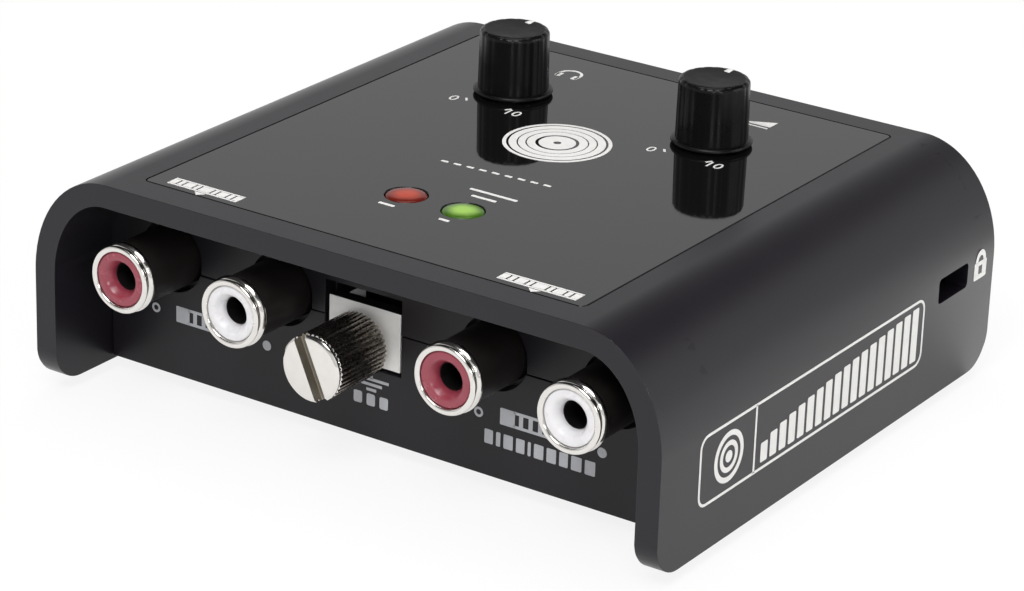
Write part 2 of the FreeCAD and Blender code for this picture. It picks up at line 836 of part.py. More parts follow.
def insulator(name, x, radius, length):
    sink = size("barrel_wall")
    face = jackEnd + sink
    core = rod(name + "_core", radius, length - sink, (x, face, jackZ), "y")
    mouth = cone(name + "_mouth", size("mouth_radius"), size("pin_radius"), size("mouth_depth"),
                 (x, face, jackZ), "y")
    bore = rod(name + "_bore", size("pin_radius"), length, (x, face - OVER, jackZ), "y")
    contactAt = barrelBack - size("contact_length")
    seatRadius = size("pin_radius") + size("contact_wall")
    seat = rod(name + "_contact_seat", seatRadius + size("thread_gap"), size("contact_length") + OVER,
               (x, contactAt, jackZ), "y")
    finished(name + "_insulator", cut(name + "_insulator", core, [mouth, bore, seat]))
    sleeve = rod(name + "_sleeve", seatRadius, size("contact_length"), (x, contactAt, jackZ), "y")
    sleeveBore = rod(name + "_sleeve_bore", size("pin_radius"), size("contact_length") + 2 * OVER,
                     (x, contactAt - OVER, jackZ), "y")
    finished(name + "_contact", cut(name + "_contact", sleeve, [sleeveBore]))


# The bent earth plate: a face in the front window and two ears that stand on the board
def earthBracket():
    half = size("plate_width") / 2
    low = caseBottom + size("plate_low") + size("hole_gap")
    high = caseBottom + size("plate_high")
    pieces = [span("earth_face", (earthX - half, earthX + half), (plateFace, plateBack), (low, high))]
    earBack = plateBack + size("ear_depth")
    for side in (-1, 1):
        inner = earthX + side * (half - size("ear_thick"))
        outer = earthX + side * half
        xs = (inner, outer) if side > 0 else (outer, inner)
        pieces.append(span("earth_ear_%d" % side, xs, (plateFace, earBack), (low, high)))
        pieces.append(span("earth_leg_%d" % side, xs, (frontInner + size("washer_gap"), earBack),
                           (boardTop, high)))
    hole = rod("earth_hole", size("earth_thread_radius") + size("running_gap"),
               size("plate_thick") + 2 * OVER, (earthX, plateFace - OVER, earthZ), "y")
    finished("earth_bracket", cut("earth_bracket", join("earth_full", pieces), [hole]))


def earthNut():
    nut = rod("earth_nut_blank", size("earth_nut_radius"), size("earth_nut_thick"),
              (earthX, plateBack, earthZ), "y")
    hole = rod("earth_nut_hole", size("earth_thread_radius") + size("running_gap"),
               size("earth_nut_thick") + 2 * OVER, (earthX, plateBack - OVER, earthZ), "y")
    finished("earth_nut", cut("earth_nut", nut, [hole]))


washerBack = plateFace - size("washer_gap")
washerFront = washerBack - size("washer_thick")


def earthWasher():
    washer = rod("earth_washer_blank", size("washer_radius"), size("washer_thick"),
                 (earthX, washerFront, earthZ), "y")
    hole = rod("earth_washer_hole", size("earth_thread_radius") + size("running_gap"),
               size("washer_thick") + 2 * OVER, (earthX, washerFront - OVER, earthZ), "y")
    finished("earth_washer", cut("earth_washer", washer, [hole]))


# The knurled earth screw, drawn upright with its slotted end at the top
def earthScrew():
    body = doc.addObject("PartDesign::Body", "earth_screw")
    headLow = washerFront - size("washer_gap")
    headLength = headLow - earthEnd
    radius = size("earth_radius")
    thread = size("earth_thread_radius")
    reach = plateBack + size("earth_nut_thick") + size("earth_thread_reach") - headLow
    profile = bodySketch(body, "earth_profile", "XZ_Plane")
    straightOutline(profile, [(0, -reach), (thread, -reach), (thread, 0), (radius, 0),
                              (radius, headLength - size("earth_chamfer")),
                              (radius - size("earth_chamfer"), headLength), (0, headLength)])
    spun(body, "earth_turned", profile)
    slot = bodySketch(body, "earth_slot_outline", "XY_Plane", headLength)
    half = size("earth_slot_width") / 2
    end = radius + OVER
    straightOutline(slot, [(-half, -end), (half, -end), (half, end), (-half, end)])
    pocket(body, "earth_slot", slot, size("earth_slot_depth"))
    knurl = bodySketch(body, "earth_knurl_outline", "XY_Plane")
    circleIn(knurl, radius, 0, size("knurl_radius"))
    groove = pocket(body, "earth_knurl", knurl, headLength - size("knurl_stop"), True)
    around(body, "earth_knurls", groove, "earth_knurls")
    turn = FreeCAD.Rotation(V(1, 0, 0), 90)
    lean = FreeCAD.Rotation(V(0, 0, 1), size("earth_slot_lean").value)
    body.Placement = FreeCAD.Placement(V(0, 0, 0), turn.multiply(lean))
    place(body, earthX, headLow, earthZ)
    finished("earth_screw", body)


# A potentiometer on the board: its case with a bored nose, and the flatted shaft in it
def potentiometer(name, x):
    y = knobY
    width = size("pot_width") / 2
    depth = size("pot_depth") / 2
    bodyTop = boardTop + size("pot_height")
    case = span(name + "_pot_case", (x - width, x + width), (y - depth, y + depth), (boardTop, bodyTop))
    nose = rod(name + "_pot_nose", size("pot_nose_radius"), size("pot_nose"), (x, y, bodyTop))
    full = join(name + "_pot_full", [case, nose])
    shaftLow = boardTop + size("pot_floor")
    bore = rod(name + "_pot_bore", size("shaft_radius") + size("running_gap"),
               bodyTop + size("pot_nose") - shaftLow + OVER, (x, y, shaftLow))
    finished(name + "_pot", cut(name + "_pot", full, [bore]))
    shaftTop = roofTop + size("knob_lift") + size("shaft_in_knob")
    start = shaftLow + size("running_gap")
    stem = rod(name + "_stem", size("shaft_radius"), shaftTop - start, (x, y, start))
    flatLow = roofTop + size("knob_lift")
    side = size("shaft_radius") + OVER
    flat = span(name + "_flat", (x - side, x + side), (y - side, y - size("shaft_flat")),
                (flatLow, shaftTop + OVER))
    finished(name + "_shaft", cut(name + "_shaft", stem, [flat]))


# A fluted knob, drawn with its underside at zero, its bore flatted like the shaft
def knob(name, x):
    body = doc.addObject("PartDesign::Body", name + "_knob")
    top = size("knob_height")
    flange = size("knob_flange_thick")
    chamfer = size("knob_chamfer")
    profile = bodySketch(body, name + "_knob_profile", "XZ_Plane")
    straightOutline(profile, [(0, 0), (size("knob_flange_radius"), 0), (size("knob_flange_radius"), flange),
                              (size("knob_radius"), flange),
                              (size("knob_top_radius"), top - chamfer),
                              (size("knob_top_radius") - chamfer, top), (0, top)])
    spun(body, name + "_knob_turned", profile)
    flute = bodySketch(body, name + "_flute_outline", "XY_Plane", flange)
    middle = size("knob_radius") + size("flute_radius") - size("flute_depth")
    circleIn(flute, middle, 0, size("flute_radius"))
    groove = pocket(body, name + "_flute", flute, top, True)
    around(body, name + "_flutes", groove, "knob_flutes")
    bore = bodySketch(body, name + "_bore_outline", "XY_Plane")
    dShape(bore, size("shaft_radius") + size("shaft_gap"), size("shaft_flat") + size("shaft_gap"))
    hole = pocket(body, name + "_bore", bore, size("shaft_in_knob") + size("knob_lift"), True)
    body.Tip = hole
    place(body, x, knobY, roofTop + size("knob_lift"))
    finished(name + "_knob", body)


# A circle with a flat on its near side, the flat that far from the middle
def dShape(sketch, radius, flat):
    reach = math.sqrt(radius.value ** 2 - flat.value ** 2)
    left = V(-reach, -flat.value, 0)
    right = V(reach, -flat.value, 0)
    arc = sketch.addGeometry(Part.Arc(right, V(0, radius.value, 0), left))
    chord = sketch.addGeometry(Part.LineSegment(left, right))
    startsRight = sketch.getPoint(arc, 1).x > 0
    ends = (1, 2) if startsRight else (2, 1)
    sketch.addConstraint(Sketcher.Constraint("Coincident", arc, ends[0], chord, 2))
    sketch.addConstraint(Sketcher.Constraint("Coincident", arc, ends[1], chord, 1))
    sketch.addConstraint(Sketcher.Constraint("Coincident", arc, 3, -1, 1))
    sketch.addConstraint(Sketcher.Constraint("Horizontal", chord))
    number = sketch.addConstraint(Sketcher.Constraint("Radius", arc, radius.value))
    sketch.setExpression("Constraints[%d]" % number, radius.text)
    number = sketch.addConstraint(Sketcher.Constraint("DistanceY", chord, 1, -1, 1, flat.value))
    sketch.setExpression("Constraints[%d]" % number, flat.text)
    return sketch


def lamp(name, x):
    bulb = rod(name + "_bulb", size("lamp_radius"), size("lamp_length"), (x, lampY, lampBottom))
    flange = rod(name + "_flange", size("lamp_radius") + size("lamp_flange"),
                 size("lamp_flange_thick"), (x, lampY, lampBottom))
    finished(name + "_lamp", join(name + "_lamp", [bulb, flange]))


# Tubes that hold the lamps up off the board, and the lamps' wire legs inside them
def lampSupports():
    tubes = []
    legs = []
    for name, x in LAMPS.items():
        height = lampBottom - boardTop
        outer = size("lamp_radius") + size("lamp_flange")
        tube = rod(name + "_tube", outer, height, (x, lampY, boardTop))
        gap = rod(name + "_tube_gap", outer - size("lamp_tube_wall"), height + 2 * OVER,
                  (x, lampY, boardTop - OVER))
        tubes.append(cut(name + "_holder", tube, [gap]))
        for side in (-1, 1):
            middle = x + side * size("leg_pitch") / 2
            half = size("leg_width") / 2
            legs.append(span("%s_leg_%d" % (name, side), (middle - half, middle + half),
                             (lampY - half, lampY + half), (boardTop, lampBottom)))
    holders = doc.addObject("Part::MultiFuse", "lamp_holders")
    holders.Shapes = tubes
    finished("lamp_holders", holders)
    wires = doc.addObject("Part::MultiFuse", "lamp_legs")
    wires.Shapes = legs
    finished("lamp_legs", wires)


# The small round headphone socket through the rear wall, and its ring nut
def headphoneSocket():
    x = size("phones_x")
    half = size("phones_body_width") / 2
    back = rearInner - size("phones_body_depth")
    case = span("phones_case", (x - half, x + half), (back, rearInner),
                (boardTop, boardTop + size("phones_body_height")))
    noseLength = size("panel_wall") + size("phones_ring_thick")
    nose = rod("phones_nose", size("phones_nose_radius"), noseLength, (x, rearInner, phonesZ), "y")
    bore = rod("phones_bore", size("phones_hole_radius"), size("phones_body_depth") + noseLength,
               (x, back + size("phones_back_wall"), phonesZ), "y")
    finished("headphone_socket", cut("headphone_socket", join("phones_full", [case, nose]), [bore]))
    ring = rod("phones_ring_blank", size("phones_ring_radius"), size("phones_ring_thick"),
               (x, rearFace, phonesZ), "y")
    hole = rod("phones_ring_hole", size("phones_nose_radius") + size("thread_gap"),
               size("phones_ring_thick") + 2 * OVER, (x, rearFace - OVER, phonesZ), "y")
    finished("headphone_ring", cut("headphone_ring", ring, [hole]))


# The square data socket: a metal shell and the contact tongue inside it
def dataSocket():
    half = size("usb_width") / 2
    thin = size("usb_wall")
    back = rearFace - size("usb_depth")
    top = boardTop + size("usb_height")
    shell = span("usb_shell_blank", (usbX - half, usbX + half), (back, rearFace), (boardTop, top))
    hollow = span("usb_shell_hollow", (usbX - half + thin, usbX + half - thin),
                  (back + thin, rearFace + OVER), (boardTop + thin, top - thin))
    finished("usb_shell", cut("usb_shell", shell, [hollow]))
    inner = thin + size("thread_gap")
    middle = boardTop + size("usb_height") / 2
    block = span("usb_block", (usbX - half + inner, usbX + half - inner),
                 (back + inner, back + size("usb_back")), (boardTop + inner, top - inner))
    tongueHalf = size("usb_tongue_width") / 2
    tongueTall = size("usb_tongue_height") / 2
    tongue = span("usb_tongue_bar", (usbX - tongueHalf, usbX + tongueHalf),
                  (back + size("usb_back"), rearFace - size("usb_tongue_setback")),
                  (middle - tongueTall, middle + tongueTall))
    finished("usb_tongue", join("usb_tongue", [block, tongue]))


# The line and phono selector: a slotted case behind the rear wall and its sliding lever
def selector():
    middle = size("switch_travel") / 2
    half = size("switch_width") / 2
    back = rearInner - size("switch_depth")
    case = span("switch_case", (middle - half, middle + half), (back, rearInner - size("hole_gap")),
                (boardTop, boardTop + size("switch_height")))
    leverHalf = size("lever_width") / 2
    leverTall = size("lever_height") / 2
    gap = size("running_gap")
    root = rearInner - size("hole_gap") - size("lever_root")
    track = span("switch_track", (-leverHalf - gap, leverHalf + gap + size("switch_travel")),
                 (root - gap, rearInner), (leverZ - leverTall - gap, leverZ + leverTall + gap))
    finished("switch_body", cut("switch_body", case, [track]))
    lever = span("lever_bar", (-leverHalf, leverHalf), (root, rearFace + size("lever_out")),
                 (leverZ - leverTall, leverZ + leverTall))
    finished("switch_lever", lever)


def onBoard(label, x, y, wide, deep, tall):
    finished(label, block(label, (x - wide / 2, y - deep / 2, boardTop), (wide, deep, tall)))


def boardParts():
    side = size("chip_side")
    frontRow = frontInner + size("front_parts_inset")
    onBoard("converter_chip", dim(0), frontRow, side, side, size("chip_thick"))
    onBoard("amplifier_chip", size("knob_x"), frontRow, size("amp_length"),
            size("amp_width"), size("chip_thick"))
    onBoard("crystal_can", -size("knob_x"), frontRow, size("crystal_length"),
            size("crystal_width"), size("crystal_height"))
    sideX = size("boss_x") - size("can_radius")
    sideY = frontInner + size("side_can_inset")
    cans = {
        "supply_capacitor": (-sideX, sideY),
        "input_capacitor": (sideX, sideY),
        "output_capacitor": (dim(0), rearInner - size("rear_can_inset")),
    }
    for label, (x, y) in cans.items():
        finished(label, rod(label, size("can_radius"), size("can_height"), (x, y, boardTop)))


# Every object must have solved, and every sub-part must be one or more valid solids
def checkModel():
    doc.recompute()
    for thing in doc.Objects:
        if "Invalid" in thing.State or "Error" in thing.State:
            raise RuntimeError("did not solve: " + thing.Name)
    for thing in subParts:
        if thing.Shape.isNull() or not thing.Shape.isValid() or not thing.Shape.Solids:
            raise RuntimeError("not a solid: " + thing.Label)


def writeParts():
    os.makedirs("parts", exist_ok=True)
    for thing in subParts:
        thing.Shape.exportStep("parts/%s.step" % thing.Label)
        print("%-24s %d solids, %10.2f mm3" % (thing.Label, len(thing.Shape.Solids), thing.Shape.Volume))


topShell()
bottomTray()
topPanel()
rubberFeet()
caseScrews()
boardScrews()
mainBoard()
jackBody("output_jack_body", ["output_right", "output_left"])
jackBody("input_jack_body", ["input_right", "input_left"])
for socket in JACKS:
    phonoSocket(socket)
earthBracket()
earthNut()
earthWasher()
earthScrew()
for control, middle in KNOBS.items():
    potentiometer(control, middle)
    knob(control, middle)
for name, middle in LAMPS.items():
    lamp(name, middle)
lampSupports()
headphoneSocket()
dataSocket()
selector()
boardParts()
checkModel()
writeParts()
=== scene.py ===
import bpy
import bmesh
import json
import math
from mathutils import Matrix, Vector


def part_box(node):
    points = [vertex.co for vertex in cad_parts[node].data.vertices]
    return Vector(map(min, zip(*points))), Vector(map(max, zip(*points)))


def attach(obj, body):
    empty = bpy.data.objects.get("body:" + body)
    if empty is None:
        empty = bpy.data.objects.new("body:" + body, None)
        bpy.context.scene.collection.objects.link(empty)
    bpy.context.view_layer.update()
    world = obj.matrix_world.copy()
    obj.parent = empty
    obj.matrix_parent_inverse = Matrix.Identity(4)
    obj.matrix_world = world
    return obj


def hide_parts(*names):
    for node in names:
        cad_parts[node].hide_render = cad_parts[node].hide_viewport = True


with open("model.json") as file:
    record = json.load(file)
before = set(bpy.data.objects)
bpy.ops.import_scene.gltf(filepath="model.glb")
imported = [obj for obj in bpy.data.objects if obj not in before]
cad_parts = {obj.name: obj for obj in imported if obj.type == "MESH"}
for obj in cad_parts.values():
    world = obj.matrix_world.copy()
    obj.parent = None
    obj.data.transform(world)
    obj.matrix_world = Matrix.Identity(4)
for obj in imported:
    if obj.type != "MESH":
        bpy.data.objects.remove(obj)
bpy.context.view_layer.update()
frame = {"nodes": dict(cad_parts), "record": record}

mm = 0.001
scene = bpy.context.scene
scene.view_settings.view_transform = "Standard"


# Camera, floor and light
cameraPlace = {
    "location": (0.223799, -0.339827, 0.180751),
    "heading": 0.585161,      # radians, all three
    "dip": 0.394519,
    "roll": 0.033749,
    "focal": 3645.47,         # pixels of a frame this wide
    "frameWide": 1024,
    "sensorWide": 36,
}
studio = {
    "floorColour": "#f6f6f5",
    "floorGlow": 0.86,        # share of the floor that is plain white to the eye
    "floorGloss": 0.66,       # and to gloss
    "worldLevel": 0.42,
    "glossHorizon": 0.70,
    "glossMiddle": 0.03,
    "glossZenith": 0.30,
    "horizonTo": 0.445,       # heights of a direction: 0 is level and 1 straight up
    "middleFrom": 0.55,
    "middleTo": 0.84,
}
# each lamp's place, aim, size and watts
lamps = {
    "topSoftbox": ((-0.10, 0.10, 0.90), (0, 0, 0.015), 0.7, 2.4),
    "keySoftbox": ((0.20, -0.47, 0.70), (0, 0, 0.015), 0.50, 3.5),
    "rightSoftbox": ((0.90, 0.35, 0.40), (0, 0, 0.015), 0.6, 2.0),
    # two small discs that lighten the arch's front edge and the plated rings
    "edgeStrip": ((0.10, -0.56, 0.72), (0, -0.03, 0.02), 0.16, 1.0),
    "edgeStripLow": ((0.63, -0.57, 0.29), (0, -0.03, 0.02), 0.16, 1.0),
}
# a small card on the floor behind the case, which the side wall mirrors towards its rear edge
rearCard = {"spot": (0.0504, 0.0636, 0.001), "long": 0.07, "wide": 0.022, "watts": 0.0042, "turn": 56.5}


# sRGB hex to Blender's linear colour
def hexColour(text, alpha=1.0):
    parts = [int(text[i:i + 2], 16) / 255 for i in (1, 3, 5)]
    linear = [p / 12.92 if p <= 0.04045 else ((p + 0.055) / 1.055) ** 2.4 for p in parts]
    return (*linear, alpha)


# Adds one node, sets its fields and input values, and links its inputs
def add(tree, kind, values=None, links=None, **fields):
    node = tree.nodes.new(kind)
    for field, value in fields.items():
        setattr(node, field, value)
    for name, value in (values or {}).items():
        node.inputs[name].default_value = value
    for name, source in (links or {}).items():
        tree.links.new(source, node.inputs[name])
    return node


# Puts an object with the given data into the scene
def placed(name, data):
    thing = bpy.data.objects.new(name, data)
    scene.collection.objects.link(thing)
    return thing


# Turns a finished bmesh into a mesh
def meshFrom(name, bm):
    mesh = bpy.data.meshes.new(name)
    bm.to_mesh(mesh)
    bm.free()
    return mesh


# Adds one bmesh to another
def join(bm, part):
    mesh = meshFrom("part", part)
    bm.from_mesh(mesh)
    bpy.data.meshes.remove(mesh)


# The mesh of an object with its modifiers applied
def doneMesh(thing):
    bpy.context.view_layer.update()
    return bpy.data.meshes.new_from_object(thing.evaluated_get(bpy.context.evaluated_depsgraph_get()))


# The light path, and whether gloss or glass sent the ray
def rayKind(tree):
    path = add(tree, "ShaderNodeLightPath")
    mirrored = add(tree, "ShaderNodeMath", operation="MAXIMUM",
                   links={0: path.outputs["Is Glossy Ray"], 1: path.outputs["Is Transmission Ray"]})
    return path, mirrored


def makeCamera():
    data = bpy.data.cameras.new("camera")
    data.sensor_width = cameraPlace["sensorWide"]
    data.lens = cameraPlace["focal"] * cameraPlace["sensorWide"] / cameraPlace["frameWide"]
    data.clip_start = 0.01
    data.clip_end = 20
    camera = placed("camera", data)
    turn = (Matrix.Rotation(cameraPlace["heading"], 4, "Z")
            @ Matrix.Rotation(math.pi / 2 - cameraPlace["dip"], 4, "X")
            @ Matrix.Rotation(cameraPlace["roll"], 4, "Z"))
    camera.matrix_world = Matrix.Translation(cameraPlace["location"]) @ turn
    scene.camera = camera


def makeFloor():
    bm = bmesh.new()
    bmesh.ops.create_grid(bm, x_segments=1, y_segments=1, size=6)
    mesh = meshFrom("floor", bm)
    floor = placed("floor", mesh)
    paper = bpy.data.materials.new("paperBackdrop")
    paper.use_nodes = True
    tree = paper.node_tree
    tree.nodes.clear()
    colour = hexColour(studio["floorColour"])
    matt = add(tree, "ShaderNodeBsdfDiffuse", {"Color": colour})
    glow = add(tree, "ShaderNodeEmission", {"Color": (1, 1, 1, 1), "Strength": 1.0})
    path, mirrored = rayKind(tree)
    seen = add(tree, "ShaderNodeMath", {1: studio["floorGlow"]}, {0: path.outputs["Is Camera Ray"]},
               operation="MULTIPLY")
    share = add(tree, "ShaderNodeMath", {1: studio["floorGloss"]},
                {0: mirrored.outputs[0], 2: seen.outputs[0]}, operation="MULTIPLY_ADD")
    both = add(tree, "ShaderNodeMixShader",
               links={0: share.outputs[0], 1: matt.outputs[0], 2: glow.outputs[0]})
    add(tree, "ShaderNodeOutputMaterial", links={"Surface": both.outputs[0]})
    mesh.materials.append(paper)


# White to the eye; for gloss it falls off above the horizon, as in a light tent with an open top
def makeWorld():
    world = bpy.data.worlds.new("lightTent")
    scene.world = world
    world.use_nodes = True
    tree = world.node_tree
    tree.nodes.clear()
    where = add(tree, "ShaderNodeTexCoord")
    axes = add(tree, "ShaderNodeSeparateXYZ", links={0: where.outputs["Generated"]})
    ramp = add(tree, "ShaderNodeValToRGB", links={0: axes.outputs["Z"]})
    ramp.color_ramp.interpolation = "EASE"
    horizon, middle, zenith = studio["glossHorizon"], studio["glossMiddle"], studio["glossZenith"]
    stops = [(0.0, horizon), (studio["horizonTo"], horizon), (studio["middleFrom"], middle),
             (studio["middleTo"], middle), (1.0, zenith)]
    while len(ramp.color_ramp.elements) < len(stops):
        ramp.color_ramp.elements.new(1.0)
    for element, (spot, level) in zip(ramp.color_ramp.elements, stops):
        element.position = spot
        element.color = (level, level, level, 1)
    plain = add(tree, "ShaderNodeBackground", {"Color": (1, 1, 1, 1), "Strength": studio["worldLevel"]})
    tent = add(tree, "ShaderNodeBackground", {"Strength": 1.0}, {"Color": ramp.outputs[0]})
    white = add(tree, "ShaderNodeBackground", {"Color": (1, 1, 1, 1), "Strength": 1.0})
    path, mirrored = rayKind(tree)
    first = add(tree, "ShaderNodeMixShader",
                links={0: mirrored.outputs[0], 1: plain.outputs[0], 2: tent.outputs[0]})
    last = add(tree, "ShaderNodeMixShader",
               links={0: path.outputs["Is Camera Ray"], 1: first.outputs[0], 2: white.outputs[0]})
    add(tree, "ShaderNodeOutputWorld", links={"Surface": last.outputs[0]})


# A soft lamp aimed at a point on the object
def softLamp(name, place, aim, size, watts):
    data = bpy.data.lights.new(name, "AREA")
    data.shape = "DISK"
    data.size = size
    data.energy = watts
    lamp = placed(name, data)
    lamp.location = place
    lamp.rotation_mode = "QUATERNION"
    lamp.rotation_quaternion = (Vector(aim) - Vector(place)).to_track_quat("-Z", "Y")
    lamp.visible_camera = False
    return lamp


makeCamera()
makeFloor()
makeWorld()
for name, (place, aim, size, watts) in lamps.items():
    softLamp(name, place, aim, size, watts)
overCard = Vector(rearCard["spot"]) + Vector((0, 0, 1))
card = softLamp("rearCard", rearCard["spot"], overCard, rearCard["long"], rearCard["watts"])
card.data.shape = "RECTANGLE"
card.data.size_y = rearCard["wide"]
card.rotation_quaternion = (Matrix.Rotation(math.radians(rearCard["turn"]), 4, "Z")
                            @ Matrix.Rotation(math.pi, 4, "X")).to_quaternion()
print("camera, floor and light ready")


# Finishes
def slotOf(node):
    return [p["material_slot"] for p in frame["record"]["subparts"] if p["node"] == node][0]


# Opens a material with one shader; returns it, its node tree, the shader and Object coordinates
def newFinish(name, hexText, rough, metal=0.0, **sockets):
    finish = bpy.data.materials.new(name)
    finish.use_nodes = True
    tree = finish.node_tree
    tree.nodes.clear()
    values = {"Base Color": hexColour(hexText), "Roughness": rough, "Metallic": metal}
    values.update(sockets)
    shader = add(tree, "ShaderNodeBsdfPrincipled", values)
    add(tree, "ShaderNodeOutputMaterial", links={"Surface": shader.outputs[0]})
    where = add(tree, "ShaderNodeTexCoord").outputs["Object"]
    return finish, tree, shader, where


# Colour that drifts between two tones over a real distance in millimetres
def toneDrift(tree, shader, where, dark, light, grain, detail=3.0):
    noise = add(tree, "ShaderNodeTexNoise", {"Scale": 1 / (grain * mm), "Detail": detail, "Roughness": 0.55},
                {"Vector": where})
    tone = add(tree, "ShaderNodeMixRGB", {"Color1": hexColour(dark), "Color2": hexColour(light)},
               {"Fac": noise.outputs["Fac"]})
    tree.links.new(tone.outputs[0], shader.inputs["Base Color"])
    return noise


def roughDrift(tree, shader, noise, low, high):
    spread = add(tree, "ShaderNodeMapRange",
                 {"From Min": 0.3, "From Max": 0.7, "To Min": low, "To Max": high},
                 {"Value": noise.outputs["Fac"]})
    tree.links.new(spread.outputs[0], shader.inputs["Roughness"])


# Fine relief of a given grain and depth, both in millimetres
def relief(tree, shader, where, grain, depth, detail=2.0):
    noise = add(tree, "ShaderNodeTexNoise", {"Scale": 1 / (grain * mm), "Detail": detail},
                {"Vector": where})
    bump = add(tree, "ShaderNodeBump", {"Strength": 1.0, "Distance": depth * mm},
               {"Height": noise.outputs["Fac"]})
    tree.links.new(bump.outputs[0], shader.inputs["Normal"])


# Two tones, a spread of roughness and a relief: grains, depth and drift are in millimetres
def plainFinish(name, dark, light, rough, grain=4.0, reliefGrain=0.3, depth=0.004, metal=0.0,
                spread=0.06, **sockets):
    finish, tree, shader, where = newFinish(name, dark, rough, metal, **sockets)
    noise = toneDrift(tree, shader, where, dark, light, grain)
    roughDrift(tree, shader, noise, rough - spread, rough + spread)
    if depth:
        relief(tree, shader, where, reliefGrain, depth)
    return finish


finishes = {
    # moulded ABS with a fine spark texture: satin, soft broad highlights
    "case_plastic": plainFinish(
        "mouldedAbsBlack", "#141117", "#17141a", 0.32, grain=9.0, reliefGrain=0.22, depth=0.006,
        spread=0.012, **{"Specular IOR Level": 0.38}),
    # cast acrylic, black behind: deep colour under a mirror-like skin
    "gloss_panel": plainFinish(
        "castAcrylicBlack", "#0b0b0c", "#0e0e0f", 0.05, grain=20.0, depth=0, spread=0.015,
        **{"IOR": 1.49}),
    # moulded rubber: dull, slightly grey
    "foot_rubber": plainFinish("mouldedRubber", "#141414", "#1d1d1d", 0.75, reliefGrain=0.3, depth=0.01),
    # zinc plated steel: greyish, slightly cloudy
    "zinc_steel": plainFinish(
        "zincPlatedSteel", "#a9a9a6", "#c4c4c0", 0.30, grain=0.8, metal=1.0, reliefGrain=0.1, depth=0.002),
    # green solder mask over glass cloth: satin, with the cloth's weave faintly raised
    "board_green": plainFinish(
        "solderMask", "#0d3a20", "#12492a", 0.35, grain=1.5, reliefGrain=0.6, depth=0.006),
    # glass filled nylon: black and a little dusty
    "jack_plastic": plainFinish(
        "mouldedNylonBlack", "#131314", "#1b1b1d", 0.45, grain=3.0, reliefGrain=0.2, depth=0.006),
    # bright nickel plate: warm mirror with faint polishing haze
    "nickel": plainFinish(
        "nickelPlate", "#dcd9d5", "#eae7e3", 0.13, grain=1.2, metal=1.0, reliefGrain=0.3, depth=0.0006,
        spread=0.04),
    # moulded polypropylene, red and white: waxy gloss, light carries into it
    "insulator_red": plainFinish(
        "polypropyleneRed", "#863644", "#97434f", 0.24, grain=2.0, reliefGrain=0.4, depth=0.003,
        **{"Subsurface Weight": 0.15, "Subsurface Radius": (0.8 * mm, 0.2 * mm, 0.2 * mm)}),
    "insulator_white": plainFinish(
        "polypropyleneWhite", "#d6d4d6", "#e0dfe1", 0.28, grain=2.0, reliefGrain=0.4, depth=0.003,
        **{"Subsurface Weight": 0.15, "Subsurface Radius": (0.8 * mm, 0.7 * mm, 0.6 * mm)}),
    # drawn brass: warm yellow mirror, a little dulled
    "contact_brass": plainFinish("drawnBrass", "#b8914a", "#cfa861", 0.28, grain=1.0, metal=1.0, depth=0.001),
    # tinned sheet steel gone white and matt, softly streaked
    "plate_steel": plainFinish(
        "tinnedSteel", "#f1f0ed", "#fbfaf8", 0.5, grain=0.9, metal=0.12, reliefGrain=0.15, depth=0.001),
    # phenolic moulding: dull black
    "pot_case": plainFinish("phenolicBlack", "#161617", "#1e1e20", 0.5, grain=2.0, depth=0.005),
    # turned aluminium: pale grey, softly bright
    "shaft_alloy": plainFinish(
        "turnedAluminium", "#b9babb", "#cacbcc", 0.32, grain=0.6, metal=1.0, depth=0.002),
    # polished ABS: near black with crisp small highlights
    "knob_plastic": plainFinish(
        "polishedAbsBlack", "#080708", "#0c0b0c", 0.30, grain=3.0, reliefGrain=0.5, depth=0.003,
        **{"Specular IOR Level": 0.2}),
    # acetal: black with a slightly greasy sheen
    "lever_plastic": plainFinish("acetalBlack", "#151516", "#1c1c1d", 0.4, grain=2.0, depth=0.004),
    # moulding epoxy of a chip: dull dark grey
    "chip_plastic": plainFinish("epoxyBlack", "#171718", "#202022", 0.6, grain=0.6, depth=0.006),
    # shrunk plastic sleeve: dark blue, satin
    "capacitor_sleeve": plainFinish(
        "heatShrinkSleeve", "#12182c", "#182038", 0.35, grain=2.0, depth=0.003),
}

lensGlow = {
    "middleTo": 0.9,          # millimetres from the lamp's axis
    "rimFrom": 2.8,
    "wobble": 0.7,
    "wobbleGrain": 1.1,
    "litUnder": (0.9, 0.5),   # millimetres under the top, where the light starts and is full
}


